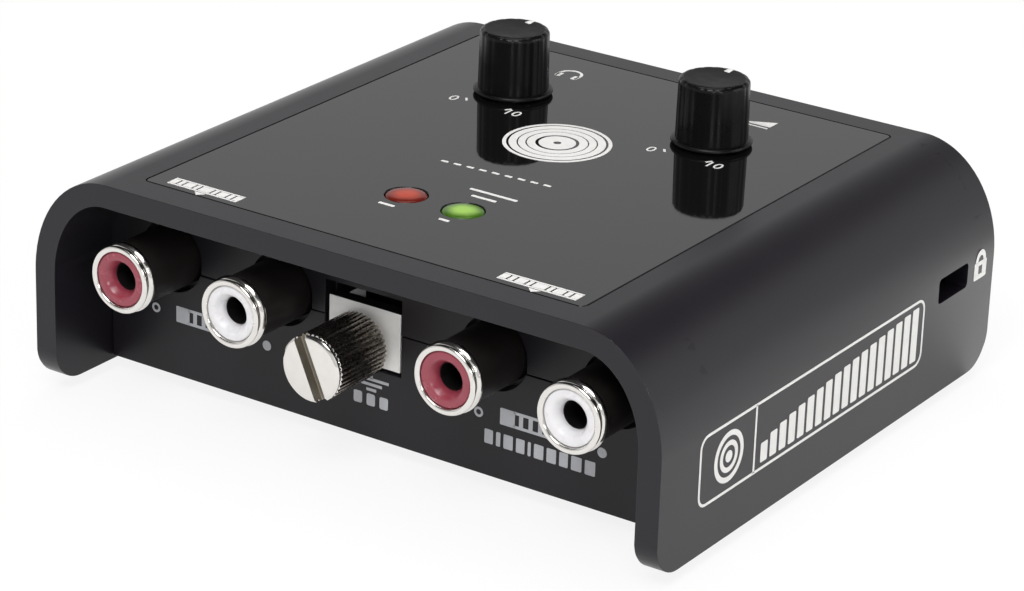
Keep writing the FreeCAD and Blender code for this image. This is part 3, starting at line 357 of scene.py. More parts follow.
# Lit polycarbonate lens: brightest in its middle, deeper colour at the rim; only its top gives light
def lensFinish(name, middle, rim, spot, topZ, strength):
    finish, tree, shader, where = newFinish(name, rim, 0.22, **{"Specular IOR Level": 0.25})
    away = add(tree, "ShaderNodeMapping", {"Location": (-spot[0], -spot[1], 0), "Scale": (1, 1, 0)},
               {"Vector": where})
    far = add(tree, "ShaderNodeVectorMath", links={0: away.outputs[0]}, operation="LENGTH")
    noise = add(tree, "ShaderNodeTexNoise", {"Scale": 1 / (lensGlow["wobbleGrain"] * mm), "Detail": 2.0},
                {"Vector": where})
    wobble = add(tree, "ShaderNodeMath", {1: lensGlow["wobble"] * mm}, {0: noise.outputs["Fac"]},
                 operation="MULTIPLY")
    reach = add(tree, "ShaderNodeMath", links={0: far.outputs["Value"], 1: wobble.outputs[0]},
                operation="ADD")
    ramp = add(tree, "ShaderNodeMapRange",
               {"From Min": lensGlow["middleTo"] * mm, "From Max": lensGlow["rimFrom"] * mm},
               {"Value": reach.outputs[0]}, interpolation_type="SMOOTHSTEP")
    tone = add(tree, "ShaderNodeMixRGB", {"Color1": hexColour(middle), "Color2": hexColour(rim)},
               {"Fac": ramp.outputs[0]})
    tree.links.new(tone.outputs[0], shader.inputs["Base Color"])
    tree.links.new(tone.outputs[0], shader.inputs["Emission Color"])
    height = add(tree, "ShaderNodeSeparateXYZ", links={0: where})
    start, full = lensGlow["litUnder"]
    nearTop = add(tree, "ShaderNodeMapRange",
                  {"From Min": topZ - start * mm, "From Max": topZ - full * mm, "To Min": 0.0,
                   "To Max": strength}, {"Value": height.outputs["Z"]})
    tree.links.new(nearTop.outputs[0], shader.inputs["Emission Strength"])
    return finish


# slot, node, middle, rim and strength
litLenses = (("lamp_red", "signal_lamp", "#a63215", "#54130a", 0.10),
             ("lamp_green", "power_lamp", "#8ab447", "#345612", 0.17))
for lampSlot, node, middle, rim, strength in litLenses:
    low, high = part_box(node)
    finishes[lampSlot] = lensFinish("polycarbonate_" + lampSlot, middle, rim, (low + high) / 2, high.z,
                                    strength)

# Printed ink: flat off-white with a slight grain
ink = plainFinish("printedInkWhite", "#d8d6d4", "#e6e5e3", 0.55, grain=0.8, reliefGrain=0.12, depth=0.003)
inkGrey = plainFinish("printedInkGrey", "#a5a6ab", "#b6b7bb", 0.55, grain=0.8, reliefGrain=0.12, depth=0.003)

for name, thing in frame["nodes"].items():
    if not thing.material_slots:
        thing.data.materials.append(finishes[slotOf(name)])
    for slot in thing.material_slots:
        slot.material = finishes[slotOf(name)]
print("finishes ready:", len(finishes))


# Tools for making pieces
# Rounds the edges that are sharper than an angle, where a test allows it
def easeEdges(bm, width, segments=2, sharper=30, where=None, slot=-1):
    bm.normal_update()
    edges = [e for e in bm.edges if len(e.link_faces) == 2
             and e.calc_face_angle(0) > math.radians(sharper) and (where is None or where(e))]
    bmesh.ops.bevel(bm, geom=edges, offset=width * mm, offset_type="OFFSET", segments=segments,
                    profile=0.5, affect="EDGES", material=slot, clamp_overlap=True)


# Makes the finished object: smooth faces, sharp creases kept, riding on its body
def newPiece(name, bm, finish, body="case", crease=35, evenOut=False):
    mesh = meshFrom(name, bm)
    piece = placed(name, mesh)
    for one in finish if isinstance(finish, list) else [finish]:
        mesh.materials.append(one)
    mesh.shade_smooth()
    mesh.set_sharp_from_angle(angle=math.radians(crease))
    if evenOut:
        even = piece.modifiers.new("evenNormals", "WEIGHTED_NORMAL")
        even.keep_sharp = True
        even.weight = 100
    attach(piece, body)
    return piece


# A copy of a CAD node with its doubles merged and its flat faces whole again
def cadCopy(node):
    bm = bmesh.new()
    bm.from_mesh(frame["nodes"][node].data)
    bmesh.ops.remove_doubles(bm, verts=bm.verts, dist=0.002 * mm)
    bmesh.ops.dissolve_limit(bm, angle_limit=math.radians(0.5), verts=bm.verts, edges=bm.edges)
    return bm


def bodyOf(node):
    return [name for name, nodes in frame["record"]["behaviour"]["bodies"].items() if node in nodes][0]


# Stands in for a CAD node: the same shape with its edges rounded
def easedNode(node, width, segments=2, sharper=30, where=None):
    bm = cadCopy(node)
    easeEdges(bm, width, segments, sharper, where)
    piece = newPiece("eased_" + node, bm, finishes[slotOf(node)], bodyOf(node),
                     evenOut=True)
    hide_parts(node)
    return piece


# A turned piece: radius and height pairs spun round the local Z axis
def turned(points, steps=96):
    bm = bmesh.new()
    verts = [bm.verts.new((radius * mm, 0, height * mm)) for radius, height in points]
    edges = [bm.edges.new(pair) for pair in zip(verts, verts[1:])]
    bmesh.ops.spin(bm, geom=verts + edges, cent=(0, 0, 0), axis=(0, 0, 1), angle=math.tau, steps=steps,
                   use_merge=True)
    bmesh.ops.remove_doubles(bm, verts=bm.verts, dist=0.0005 * mm)
    bmesh.ops.recalc_face_normals(bm, faces=bm.faces)
    return bm


# Local Z points out of the front end, towards -Y
def facingFront(x, y, z):
    return Matrix.Translation((x * mm, y * mm, z * mm)) @ Matrix.Rotation(math.pi / 2, 4, "X")


# Local Z points up
def standing(x, y, z):
    return Matrix.Translation((x * mm, y * mm, z * mm))


# Local Z points out of the right side, towards +X, with local X towards the rear
def facingRight(x, y, z):
    turn = Matrix(((0, 0, 1, 0), (1, 0, 0, 0), (0, 1, 0, 0), (0, 0, 0, 1)))
    return Matrix.Translation((x * mm, y * mm, z * mm)) @ turn


# Local Z points out of the rear end, towards +Y
def facingRear(x, y, z):
    turn = Matrix(((-1, 0, 0, 0), (0, 0, 1, 0), (0, 1, 0, 0), (0, 0, 0, 1)))
    return Matrix.Translation((x * mm, y * mm, z * mm)) @ turn


def boxMm(node):
    low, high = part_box(node)
    return low / mm, high / mm


# The middle of a node's box, in millimetres
def middleMm(node):
    return [(a + b) / 2 for a, b in zip(*boxMm(node))]


# Case: upper shell, lower tray, glossy panel
case = {
    "frontWall": -28.0,       # the face of the set-back front wall
    "rearSetBack": 3.5,
    "archWide": 10.7,         # half-axes of the outer oval
    "archTall": 13.3,
    "lipEase": 0.45,
    "legEase": 0.25,
    "holeEase": 0.14,
    "panelEase": 0.12,
    "seamEase": 0.12,
}
# where the edges to be rounded lie
edgeZone = {
    "near": 0.02,
    "legDeep": 0.6,
    "legTop": 7,
    "legFrom": 40.5,
    "slotFrom": 20,
    "slotLow": 12,
    "slotHigh": 19,
    "wallFrom": 15.9,
    "wallTo": 37,
    "pocketTo": 31.5,
}
shellHigh = boxMm("top_shell")[1]
roofZ = shellHigh.z
shellRearFace = shellHigh.y - case["rearSetBack"]


# True where every end of the edge passes a test of its place in millimetres
def everyEnd(edge, test):
    return all(test(vert.co / mm) for vert in edge.verts)


def near(value, target):
    return abs(value - target) < edgeZone["near"]


def onLip(edge):
    return everyEnd(edge, lambda v: near(abs(v.y), shellHigh.y))


def onLeg(edge):
    zone = edgeZone
    deep = everyEnd(edge, lambda v: abs(abs(v.y) - shellHigh.y) >= zone["legDeep"])
    return deep and everyEnd(edge, lambda v: v.z < zone["legTop"] and abs(v.x) > zone["legFrom"])


def onOpening(edge):
    zone = edgeZone
    slotRim = everyEnd(edge, lambda v: near(v.x, shellHigh.x) and v.y > zone["slotFrom"]
                       and zone["slotLow"] < v.z < zone["slotHigh"])
    wallRim = everyEnd(edge, lambda v: near(v.y, case["frontWall"]) and v.z > zone["wallFrom"]
                       and abs(v.x) < zone["wallTo"])
    pocketRim = everyEnd(edge, lambda v: near(v.z, roofZ) and abs(v.x) < zone["pocketTo"])
    return slotRim or wallRim or pocketRim


# The set-back end walls get the darker, duller finish of painted shade
def shadeEnds(bm):
    for one in bm.faces:
        middle = one.calc_center_median() / mm
        if min(abs(middle.y - case["frontWall"]), abs(middle.y - shellRearFace)) < 0.1:
            one.material_index = 1


# Gives the outer arch the normals of its true oval, which the flat facets only come near to
def ovalNormals(piece):
    mesh = doneMesh(piece)
    piece.modifiers.clear()
    piece.data = mesh
    wide, tall = case["archWide"] * mm, case["archTall"] * mm
    centreX, centreZ = shellHigh.x * mm - wide, shellHigh.z * mm - tall
    normals = [corner.vector.copy() for corner in mesh.corner_normals]

    def oval(spot):
        across = (abs(spot.x) - centreX) / wide
        up = (spot.z - centreZ) / tall
        out = Vector((math.copysign(max(across, 0) / wide, spot.x), 0, max(up, 0) / tall)).normalized()
        return out, math.hypot(across, up)

    for one in mesh.polygons:
        if abs(one.center.x) < centreX or one.center.z < centreZ:
            continue
        found = [oval(mesh.vertices[corner].co) for corner in one.vertices]
        if min(reach for out, reach in found) > 0.998:
            for index, (out, reach) in zip(one.loop_indices, found):
                normals[index] = out
    mesh.normals_split_custom_set(normals)


# the same ABS a touch darker and duller: painted shade for the set-back end walls under the overhang
endWallShadeFinish = plainFinish("absEndWallPaintedShade", "#131015", "#161318", 0.38, grain=9.0, reliefGrain=0.22,
                            depth=0.008, spread=0.012, **{"Specular IOR Level": 0.30})
# edges of the moulding rubbed smooth by hands: the same black, glossier
edgeFinish = plainFinish("rubbedAbsEdge", "#141117", "#17141a", 0.17, grain=9.0, depth=0, spread=0.02,
                         **{"Specular IOR Level": 0.5})
bm = cadCopy("top_shell")
easeEdges(bm, case["lipEase"], 4, 30, onLip, 2)
easeEdges(bm, case["legEase"], 3, 30, onLeg)
easeEdges(bm, case["holeEase"], 2, 40, onOpening)
shadeEnds(bm)
shell = newPiece("upperShell", bm, [finishes["case_plastic"], endWallShadeFinish, edgeFinish], "case",
                 evenOut=True)
ovalNormals(shell)
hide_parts("top_shell")

bm = cadCopy("bottom_tray")
easeEdges(bm, case["seamEase"], 2, 40, lambda e: everyEnd(e, lambda v: near(v.y, case["frontWall"])))
shadeEnds(bm)
tray = newPiece("lowerTray", bm, [finishes["case_plastic"], endWallShadeFinish], "case",
                evenOut=True)
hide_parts("bottom_tray")

easedNode("top_panel", case["panelEase"], 3, 60)
print("case ready")


# Phono sockets
socket = {
    "rimWall": 0.76,
    "beadDeep": 0.52,         # the front bead, the groove behind it and the second bead
    "grooveDeep": 0.28,
    "grooveDepth": 0.30,
    "secondDeep": 0.84,
    "secondProud": 0.14,
    "shadedBackSink": 0.22,       # the barrel's back, painted near black as shade and dark reflection, sits this far under the plated rings
    "faceSink": 0.22,
    "mouth": 2.35,
    "throatDeep": 0.95,
    "bore": 1.72,
    "seatRound": 0.5,         # wall left round the insulator inside the barrel
    "seatDeep": 1.6,
    "contactSeat": 2.04,
    "contactLong": 6.1,
}
# the hidden end of the hole, where no light comes back
boreShadow = plainFinish("shadedContact", "#0b0a0a", "#141212", 0.5, grain=1.0, depth=0.002)
# near black, satin: painted shade and dark reflection on the plated barrels' backs, and painted shade on the
# earth bracket's ears
shadeBlack = plainFinish("paintedShadeBlack", "#1c1918", "#252120", 0.42, grain=1.6, reliefGrain=0.25,
                          depth=0.006, **{"Specular IOR Level": 0.3})


# Half section of a plated barrel, from its hidden end to its rim and back down its inside
def barrelOutline(outer, depth, back):
    bead = socket["beadDeep"]
    grooveEnd = bead + socket["grooveDeep"]
    second = grooveEnd + socket["secondDeep"]
    floorRadius = outer - socket["grooveDepth"]
    shadedBack = outer - socket["shadedBackSink"]
    proud = outer + socket["secondProud"]
    inner = outer - socket["rimWall"]
    wide, seat = outer - socket["seatRound"], -socket["seatDeep"]
    hidden = [(outer - 0.2, -depth), (outer - 0.2, -back), (shadedBack, -back), (shadedBack, -second - 0.02)]
    secondBead = [(proud - 0.2, -second), (proud - 0.05, -second + 0.06), (proud, -second + 0.22),
                  (proud - 0.01, -second + 0.4), (proud - 0.06, -grooveEnd - 0.36),
                  (proud - 0.15, -grooveEnd - 0.2), (proud - 0.28, -grooveEnd - 0.06),
                  (proud - 0.4, -grooveEnd)]
    groove = [(floorRadius, -grooveEnd + 0.02), (floorRadius, -bead - 0.02)]
    frontBead = [(outer - 0.14, -bead), (outer - 0.04, -bead + 0.08), (outer, -bead + 0.2), (outer, -0.24),
                 (outer - 0.06, -0.1), (outer - 0.2, -0.01), (outer - 0.32, 0), (inner + 0.3, -0.01),
                 (inner + 0.12, -0.06), (inner + 0.02, -0.18), (inner, -0.32)]
    inside = [(inner, seat), (wide, seat), (wide, -depth), (outer - 0.2, -depth)]
    return hidden + secondBead + groove + frontBead + inside, second


# Half section of an insulator: its face, the funnel of its mouth and the bore behind
def insulatorOutline(outer, depth):
    face = -socket["faceSink"]
    mouth, bore = socket["mouth"], socket["bore"]
    throat = face - socket["throatDeep"]
    inner = outer - socket["rimWall"]
    side, seat = outer - socket["seatRound"] - 0.06, -socket["seatDeep"] - 0.06
    contact, contactEnd = socket["contactSeat"], -depth + socket["contactLong"]
    outside = [(side, -depth + 0.02), (side, seat), (inner - 0.05, seat), (inner - 0.05, face - 0.14),
               (inner - 0.16, face - 0.02), (inner - 0.26, face)]
    funnel = [(mouth + 0.34, face), (mouth + 0.16, face - 0.02), (mouth + 0.02, face - 0.08),
              (mouth - 0.12, face - 0.2), (bore + 0.3, throat + 0.42), (bore + 0.15, throat + 0.2),
              (bore + 0.05, throat), (bore, throat - 0.3), (bore, throat - 0.55)]
    behind = [(bore, contactEnd), (contact, contactEnd), (contact, -depth + 0.02), (side, -depth + 0.02)]
    return outside + funnel + behind, throat


# Gives the second finish to the faces whose middle passes a test
def secondFinish(bm, test):
    for one in bm.faces:
        if test(one.calc_center_median() / mm):
            one.material_index = 1


for name in ("output_right", "output_left", "input_right", "input_left"):
    low, high = boxMm(name + "_barrel")
    x, _, z = middleMm(name + "_barrel")
    outer, depth = (high.x - low.x) / 2, high.y - low.y
    outline, second = barrelOutline(outer, depth, -(low.y - case["frontWall"] - 0.1))
    bm = turned(outline, 112)
    # the barrel behind its second bead is painted near black for the shade and dark reflection it shows there
    secondFinish(bm, lambda m: m.z < -second - 0.01 and m.xy.length > outer - 0.4)
    bmesh.ops.transform(bm, matrix=facingFront(x, low.y, z), verts=bm.verts)
    barrel = newPiece(name + "_barrelPlated", bm, [finishes["nickel"], shadeBlack], "case",
                      crease=40)
    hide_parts(name + "_barrel")

    outline, throat = insulatorOutline(outer, depth)
    bm = turned(outline, 96)
    secondFinish(bm, lambda m: m.z < throat - 0.5 and m.xy.length < 2.0)
    bmesh.ops.transform(bm, matrix=facingFront(x, low.y, z), verts=bm.verts)
    slotName = slotOf(name + "_insulator")
    insulator = newPiece(name + "_insulatorMoulded", bm, [finishes[slotName], boreShadow], "case",
                         crease=50)
    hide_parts(name + "_insulator")
print("phono sockets ready")


# Earth terminal
earthScrew = {
    "ridges": 40,
    "valley": 0.22,
    "chamfer": 0.28,
    "slotWidth": 1.65,
    "slotDepth": 1.3,
    "slotLean": 24,           # degrees
    "rearTaper": 0.93,
    "rearRise": 0.35,
    "collar": (0.05, 0.30, 0.05, 0.15),     # the turned groove and the plain band in front of it
    "threadRadius": 1.95,
    "threadSink": 0.1,
}
ridgePoints = 6


# A ring of a few points per ridge, pulled in at its valleys
def ridgedRing(count, radius, valley, share):
    bm = bmesh.new()
    bmesh.ops.create_circle(bm, cap_ends=False, segments=count * ridgePoints, radius=radius * mm)
    for index, vert in enumerate(sorted(bm.verts, key=lambda v: math.atan2(v.co.y, v.co.x))):
        phase = (index % ridgePoints) / ridgePoints
        dip = max(0.0, math.cos(math.tau * phase) - share) / (1 - share)
        vert.co *= (radius - valley * dip) / radius
    return bm


# Extrudes the open end of a ringed shape to a new height and radius, with or without its valleys
def nextRing(bm, edges, rise, grow=1.0, even=None):
    result = bmesh.ops.extrude_edge_only(bm, edges=edges)["geom"]
    verts = [g for g in result if isinstance(g, bmesh.types.BMVert)]
    bmesh.ops.translate(bm, vec=(0, 0, rise * mm), verts=verts)
    for vert in verts:
        if even is not None:
            vert.co.xy *= even * mm / vert.co.xy.length
        vert.co.xy *= grow
    return [g for g in result if isinstance(g, bmesh.types.BMEdge)]


low, high = boxMm("earth_screw")
centreX, _, centreZ = middleMm("earth_screw")
radius = (high.x - low.x) / 2
headLength = boxMm("earth_washer")[0].y - 0.1 - low.y
chamfer, collar = earthScrew["chamfer"], earthScrew["collar"]
taper, rearRise = earthScrew["rearTaper"], earthScrew["rearRise"]
groove = radius - earthScrew["valley"] * 0.8
bm = ridgedRing(earthScrew["ridges"], radius, earthScrew["valley"], 0.1)
bmesh.ops.scale(bm, vec=(taper, taper, 1), verts=bm.verts)
edges = nextRing(bm, bm.edges[:], rearRise, 1 / taper)
edges = nextRing(bm, edges, headLength - rearRise - chamfer - sum(collar))
rings = (*zip(collar, (groove, groove, radius, radius)), (chamfer * 0.85, radius - chamfer * 0.9),
         (chamfer * 0.15, radius - chamfer * 1.25))
for rise, even in rings:
    edges = nextRing(bm, edges, rise, even=even)
bmesh.ops.contextual_create(bm, geom=edges)
bmesh.ops.contextual_create(bm, geom=[e for e in bm.edges if len(e.link_faces) == 1])
bmesh.ops.recalc_face_normals(bm, faces=bm.faces)
headObject = placed("earthHead", meshFrom("earthHead", bm))

# the screwdriver slot is cut out with a bar whose edges are rounded
cutter = bmesh.new()
bmesh.ops.create_cube(cutter, size=1)
bmesh.ops.scale(cutter, vec=(earthScrew["slotWidth"] * mm, 3 * radius * mm, 2 * earthScrew["slotDepth"] * mm),
                verts=cutter.verts)
bmesh.ops.translate(cutter, vec=(0, 0, headLength * mm), verts=cutter.verts)
easeEdges(cutter, 0.14, 2, 60)
cutterObject = placed("slotCutter", meshFrom("slotCutter", cutter))
slotCut = headObject.modifiers.new("slot", "BOOLEAN")
slotCut.operation = "DIFFERENCE"
slotCut.solver = "EXACT"
slotCut.object = cutterObject
bm = bmesh.new()
bm.from_mesh(doneMesh(headObject))
bmesh.ops.remove_doubles(bm, verts=bm.verts, dist=0.0005 * mm)
easeEdges(bm, 0.07, 2, 60, lambda e: min(v.co.z for v in e.verts) > (headLength - 1.05) * mm)
halfSlot = earthScrew["slotWidth"] * mm / 2
for one in bm.faces:
    spot = one.calc_center_median()
    inSlot = abs(spot.x) < halfSlot * 1.01 and spot.z > (headLength - earthScrew["slotDepth"] - 0.1) * mm
    # slot faces: rough as sawn, with painted shade in their colour
    if inSlot and spot.z < (headLength - 0.12) * mm:
        one.material_index = 1
    # knurled sides: painted reflection of the dark recess they face
    elif abs(one.normal.z) < 0.3 and spot.xy.length > (radius - 0.4) * mm:
        one.material_index = 2
threadLength = high.y - (low.y + headLength)
threadRadius, sink = earthScrew["threadRadius"], earthScrew["threadSink"]
join(bm, turned([(0, sink), (threadRadius, sink), (threadRadius, -threadLength + 0.3),
                 (threadRadius - 0.3, -threadLength), (0, -threadLength)], 48))
turn = Matrix.Rotation(math.radians(earthScrew["slotLean"]), 4, "Z")
bmesh.ops.transform(bm, matrix=facingFront(centreX, low.y + headLength, centreZ) @ turn, verts=bm.verts)
for spare in (headObject, cutterObject):
    bpy.data.objects.remove(spare)
# the slot is rough as sawn and painted darker as the shade inside it; the knurled sides are painted darker as
# the dark recess they mirror
sawnSlotShaded = plainFinish("sawnSteelPaintedShade", "#938d82", "#a49e93", 0.5, grain=0.5, metal=1.0, reliefGrain=0.12,
                       depth=0.004)
knurlDarkReflection = plainFinish("knurledNickelPaintedDark", "#8d867e", "#a59e96", 0.26, grain=0.5, metal=1.0, reliefGrain=0.2,
                         depth=0.002)
earthPiece = newPiece("earthThumbScrew", bm, [finishes["nickel"], sawnSlotShaded, knurlDarkReflection], "earth_screw_body",
                      crease=28)
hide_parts("earth_screw")
bracket = easedNode("earth_bracket", 0.15, 2, 60)
bracket.data.materials.append(shadeBlack)      # painted shade: the ears behind the plate that face up are painted near black as the shade under the roof
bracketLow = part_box("earth_bracket")[0]
for one in bracket.data.polygons:
    if one.normal.z > 0.7 and one.center.y > bracketLow.y + 0.3 * mm:
        one.material_index = 1
# the nut behind the plate is blackened steel, which hardly shows in the window
darkSteel = plainFinish("blackenedSteel", "#141312", "#1d1b19", 0.5, grain=0.8, metal=0.6, depth=0.003)
frame["nodes"]["earth_nut"].material_slots[0].material = darkSteel
easedNode("earth_washer", 0.08, 2, 60)
print("earth terminal ready")


# Knobs
knob = {
    "flutes": 18,
    "fluteDepth": 0.10,
    "flangeThick": 0.5,
    "foot": 4.45,
    "crown": 4.35,
    "topRound": 0.6,
    "topDish": 0.2,
    "pointerWidth": 0.75,
    "pointerOnTop": 1.0,
    "pointerDown": 2.2,
    "pointerSteps": 5,
    "straight": 0.98,         # share of the side that the taper takes
    "roundSteps": 5,
    "dishRings": ((0.02, 0.95), (0.30, 0.82), (0.30, 0.62), (0.24, 0.40), (0.12, 0.18)),    # fall, radius
}

# the cap is the same ABS left as it came from a spark textured tool: matt
knobCap = plainFinish("texturedAbsCap", "#0f0e10", "#151416", 0.55, grain=2.0, reliefGrain=0.25, depth=0.008,
                      **{"Specular IOR Level": 0.3})

for name in ("phones", "gain"):
    low, high = boxMm(name + "_knob")
    cx, cy, _ = middleMm(name + "_knob")
    tall = high.z - low.z
    flange, foot, crown = (high.x - low.x) / 2, knob["foot"], knob["crown"]
    thick, topRound = knob["flangeThick"], knob["topRound"]
    side = tall - thick - topRound
    bm = ridgedRing(knob["flutes"], foot, knob["fluteDepth"], 0.35)
    edges = nextRing(bm, bm.edges[:], side * knob["straight"], crown / foot)
    edges = nextRing(bm, edges, side * (1 - knob["straight"]))
    lastRise, lastGrow = 0.0, 1.0
    for step in range(1, knob["roundSteps"] + 1):
        turnTo = math.radians(90 * step / knob["roundSteps"])
        rise = topRound * math.sin(turnTo)
        grow = 1 - topRound * (1 - math.cos(turnTo)) / crown
        edges = nextRing(bm, edges, rise - lastRise, grow / lastGrow)
        lastRise, lastGrow = rise, grow
    sidesCount = len(bm.faces)
    for fall, share in knob["dishRings"]:
        edges = nextRing(bm, edges, -knob["topDish"] * fall, even=(crown - topRound) * share)
    bmesh.ops.contextual_create(bm, geom=edges)
    for index, one in enumerate(bm.faces):
        one.material_index = 1 if index >= sidesCount else 0
    bmesh.ops.contextual_create(bm, geom=[e for e in bm.edges if len(e.link_faces) == 1])
    bmesh.ops.translate(bm, vec=(0, 0, thick * mm), verts=bm.verts)
    bmesh.ops.recalc_face_normals(bm, faces=bm.faces)
    join(bm, turned([(0, 0), (flange - 0.1, 0), (flange, 0.1), (flange, thick - 0.24),
                     (flange - 0.07, thick - 0.1), (flange - 0.2, thick - 0.02), (foot - 0.05, thick + 0.03),
                     (foot - 0.6, thick + 0.05), (0, thick + 0.05)], 96))
    bmesh.ops.transform(bm, matrix=standing(cx, cy, low.z), verts=bm.verts)
    piece = newPiece(name + "KnobMoulded", bm, [finishes["knob_plastic"], knobCap], name + "_knob_body",
                     crease=40)
    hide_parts(name + "_knob")

    # the pointer follows the knob's profile over its rear shoulder
    bm = bmesh.new()
    path = [(crown - topRound - knob["pointerOnTop"], tall)]
    for step in range(knob["pointerSteps"] + 1):
        turnTo = math.radians(90 - 90 * step / knob["pointerSteps"])
        path.append((crown - topRound + (topRound + 0.02) * math.cos(turnTo),
                     tall - topRound + (topRound + 0.02) * math.sin(turnTo)))
    path.append((crown + 0.06, tall - topRound - knob["pointerDown"]))
    half = knob["pointerWidth"] / 2
    verts = [bm.verts.new((-half * mm, reach * mm, level * mm)) for reach, level in path]
    strip = [bm.edges.new(pair) for pair in zip(verts, verts[1:])]
    across = bmesh.ops.extrude_edge_only(bm, edges=strip)["geom"]
    bmesh.ops.translate(bm, vec=(2 * half * mm, 0, 0),
                        verts=[g for g in across if isinstance(g, bmesh.types.BMVert)])
    bmesh.ops.recalc_face_normals(bm, faces=bm.faces)
    if sum(f.normal.z + f.normal.y for f in bm.faces) < 0:
        bmesh.ops.reverse_faces(bm, faces=bm.faces)
    bmesh.ops.transform(bm, matrix=standing(cx, cy, low.z), verts=bm.verts)
    pointer = newPiece(name + "KnobPointer", bm, ink, name + "_knob_body", crease=60)
    paint = pointer.modifiers.new("paint", "SOLIDIFY")
    paint.thickness = 0.25 * mm
    paint.offset = -1
print("knobs ready")


# Lamps
lens = {"radius": 2.5, "foot": 2.9, "footTall": 1.0, "edge": 0.32, "dome": 0.10}
for name in ("signal", "power"):
    low, high = boxMm(name + "_lamp")
    cx, cy, _ = middleMm(name + "_lamp")
    tall = high.z - low.z
    side, foot, edge, dome = lens["radius"], lens["foot"], lens["edge"], lens["dome"]
    bm = turned([(0, 0), (foot, 0), (foot, lens["footTall"]), (side, lens["footTall"]),
                 (side, tall - edge - dome), (side - 0.03, tall - dome - edge * 0.6),
                 (side - 0.12, tall - dome - edge * 0.25), (side - 0.32, tall - dome),
                 (side - 0.8, tall - dome * 0.55), (side - 1.5, tall - dome * 0.2), (0.4, tall - 0.005),
                 (0, tall)], 64)
    bmesh.ops.transform(bm, matrix=standing(cx, cy, low.z), verts=bm.verts)
    slotName = slotOf(name + "_lamp")
    lensPiece = newPiece(name + "Lens", bm, finishes[slotName], "case", crease=50)
    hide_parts(name + "_lamp")
print("lamps ready")


# Rear end, underside and inside
rearEase = {
    "headphone_ring": 0.3,
    "headphone_socket": 0.1,
    "usb_shell": 0.12,
    "usb_tongue": 0.2,
    "switch_lever": 0.25,
    "switch_body": 0.1,
    "rubber_feet": 0.35,
    "case_screws": 0.1,
}
for node, width in rearEase.items():
    easedNode(node, width, 3, 60)
print("rear and underside ready")


# Printed marks: thin ink, a few hundredths of a millimetre thick
inkThick = 0.03


def bar(bm, x, y, wide, tall, corner=0.0, turnBy=0.0):
    made = bmesh.ops.create_grid(bm, x_segments=1, y_segments=1, size=0.5 * mm)["verts"]
    bmesh.ops.scale(bm, vec=(wide, tall, 1), verts=made)
    bmesh.ops.rotate(bm, matrix=Matrix.Rotation(turnBy, 3, "Z"), verts=made)
    bmesh.ops.translate(bm, vec=(x * mm, y * mm, 0), verts=made)
    if corner:
        bmesh.ops.bevel(bm, geom=made, offset=corner * mm, offset_type="OFFSET", segments=5, profile=0.5,
                        affect="VERTICES", material=-1)


def hoop(bm, x, y, outerRadius, innerRadius=0.0, steps=72):
    made = bmesh.ops.create_circle(bm, cap_ends=not innerRadius, segments=steps,
                                   radius=outerRadius * mm)["verts"]
    if innerRadius:
        made = made + bmesh.ops.create_circle(bm, cap_ends=False, segments=steps,
                                              radius=innerRadius * mm)["verts"]
        bmesh.ops.bridge_loops(bm, edges=list({e for v in made for e in v.link_edges}))
    bmesh.ops.translate(bm, vec=(x * mm, y * mm, 0), verts=made)


# A rounded outline with an even line width
def frameLine(bm, x, y, wide, tall, corner, line):
    edges = []
    for grow in (0, -line):
        part = bmesh.new()
        bar(part, x, y, wide + 2 * grow, tall + 2 * grow, corner + grow)
        bmesh.ops.delete(part, geom=part.faces[:], context="FACES_ONLY")
        before = set(bm.edges)
        join(bm, part)
        edges += [e for e in bm.edges if e not in before]
    bmesh.ops.bridge_loops(bm, edges=edges)


def wedge(bm, points):
    bm.faces.new([bm.verts.new((x * mm, y * mm, 0)) for x, y in points])


def numeral(bm, text, x, y, tall, turnBy=0.0):
    data = bpy.data.curves.new("numeral", "FONT")
    data.body = text
    data.size = tall * 1.38 * mm
    data.align_x = "CENTER"
    data.align_y = "CENTER"
    data.resolution_u = 3
    holder = placed("numeral", data)
    mesh = doneMesh(holder)
    mesh.transform(Matrix.Translation((x * mm, y * mm, 0)) @ Matrix.Rotation(turnBy, 4, "Z"))
    bm.from_mesh(mesh)
    bpy.data.objects.remove(holder)
    bpy.data.meshes.remove(mesh)


# Keeps what lies above a level
def upperHalf(bm, level=0.0):
    bmesh.ops.bisect_plane(bm, geom=bm.verts[:] + bm.edges[:] + bm.faces[:], plane_co=(0, level * mm, 0),
                           plane_no=(0, -1, 0), clear_outer=True)


# Half a ring over two ear pads
def headphoneSign(bm, x, y, wide):
    part = bmesh.new()
    hoop(part, 0, 0, wide * 0.46, wide * 0.36, 48)
    upperHalf(part)
    for side in (-1, 1):
        bar(part, side * wide * 0.41, -wide * 0.16, wide * 0.10, wide * 0.34)
        bar(part, side * wide * 0.33, -wide * 0.20, wide * 0.20, wide * 0.36, wide * 0.07)
    bmesh.ops.translate(part, vec=(x * mm, y * mm, 0), verts=part.verts)
    join(bm, part)


# Thickens the flat marks and lays them on their surface
def printOn(name, bm, place, finish=None):
    for one in bm.faces:
        one.normal_update()
    bmesh.ops.reverse_faces(bm, faces=[f for f in bm.faces if f.normal.z < 0])
    raised = bmesh.ops.extrude_face_region(bm, geom=bm.faces[:])["geom"]
    bmesh.ops.translate(bm, vec=(0, 0, inkThick * mm),
                        verts=[g for g in raised if isinstance(g, bmesh.types.BMVert)])
    bmesh.ops.recalc_face_normals(bm, faces=bm.faces)
    bmesh.ops.transform(bm, matrix=place, verts=bm.verts)
    return newPiece(name, bm, finish or ink, "case", crease=30)


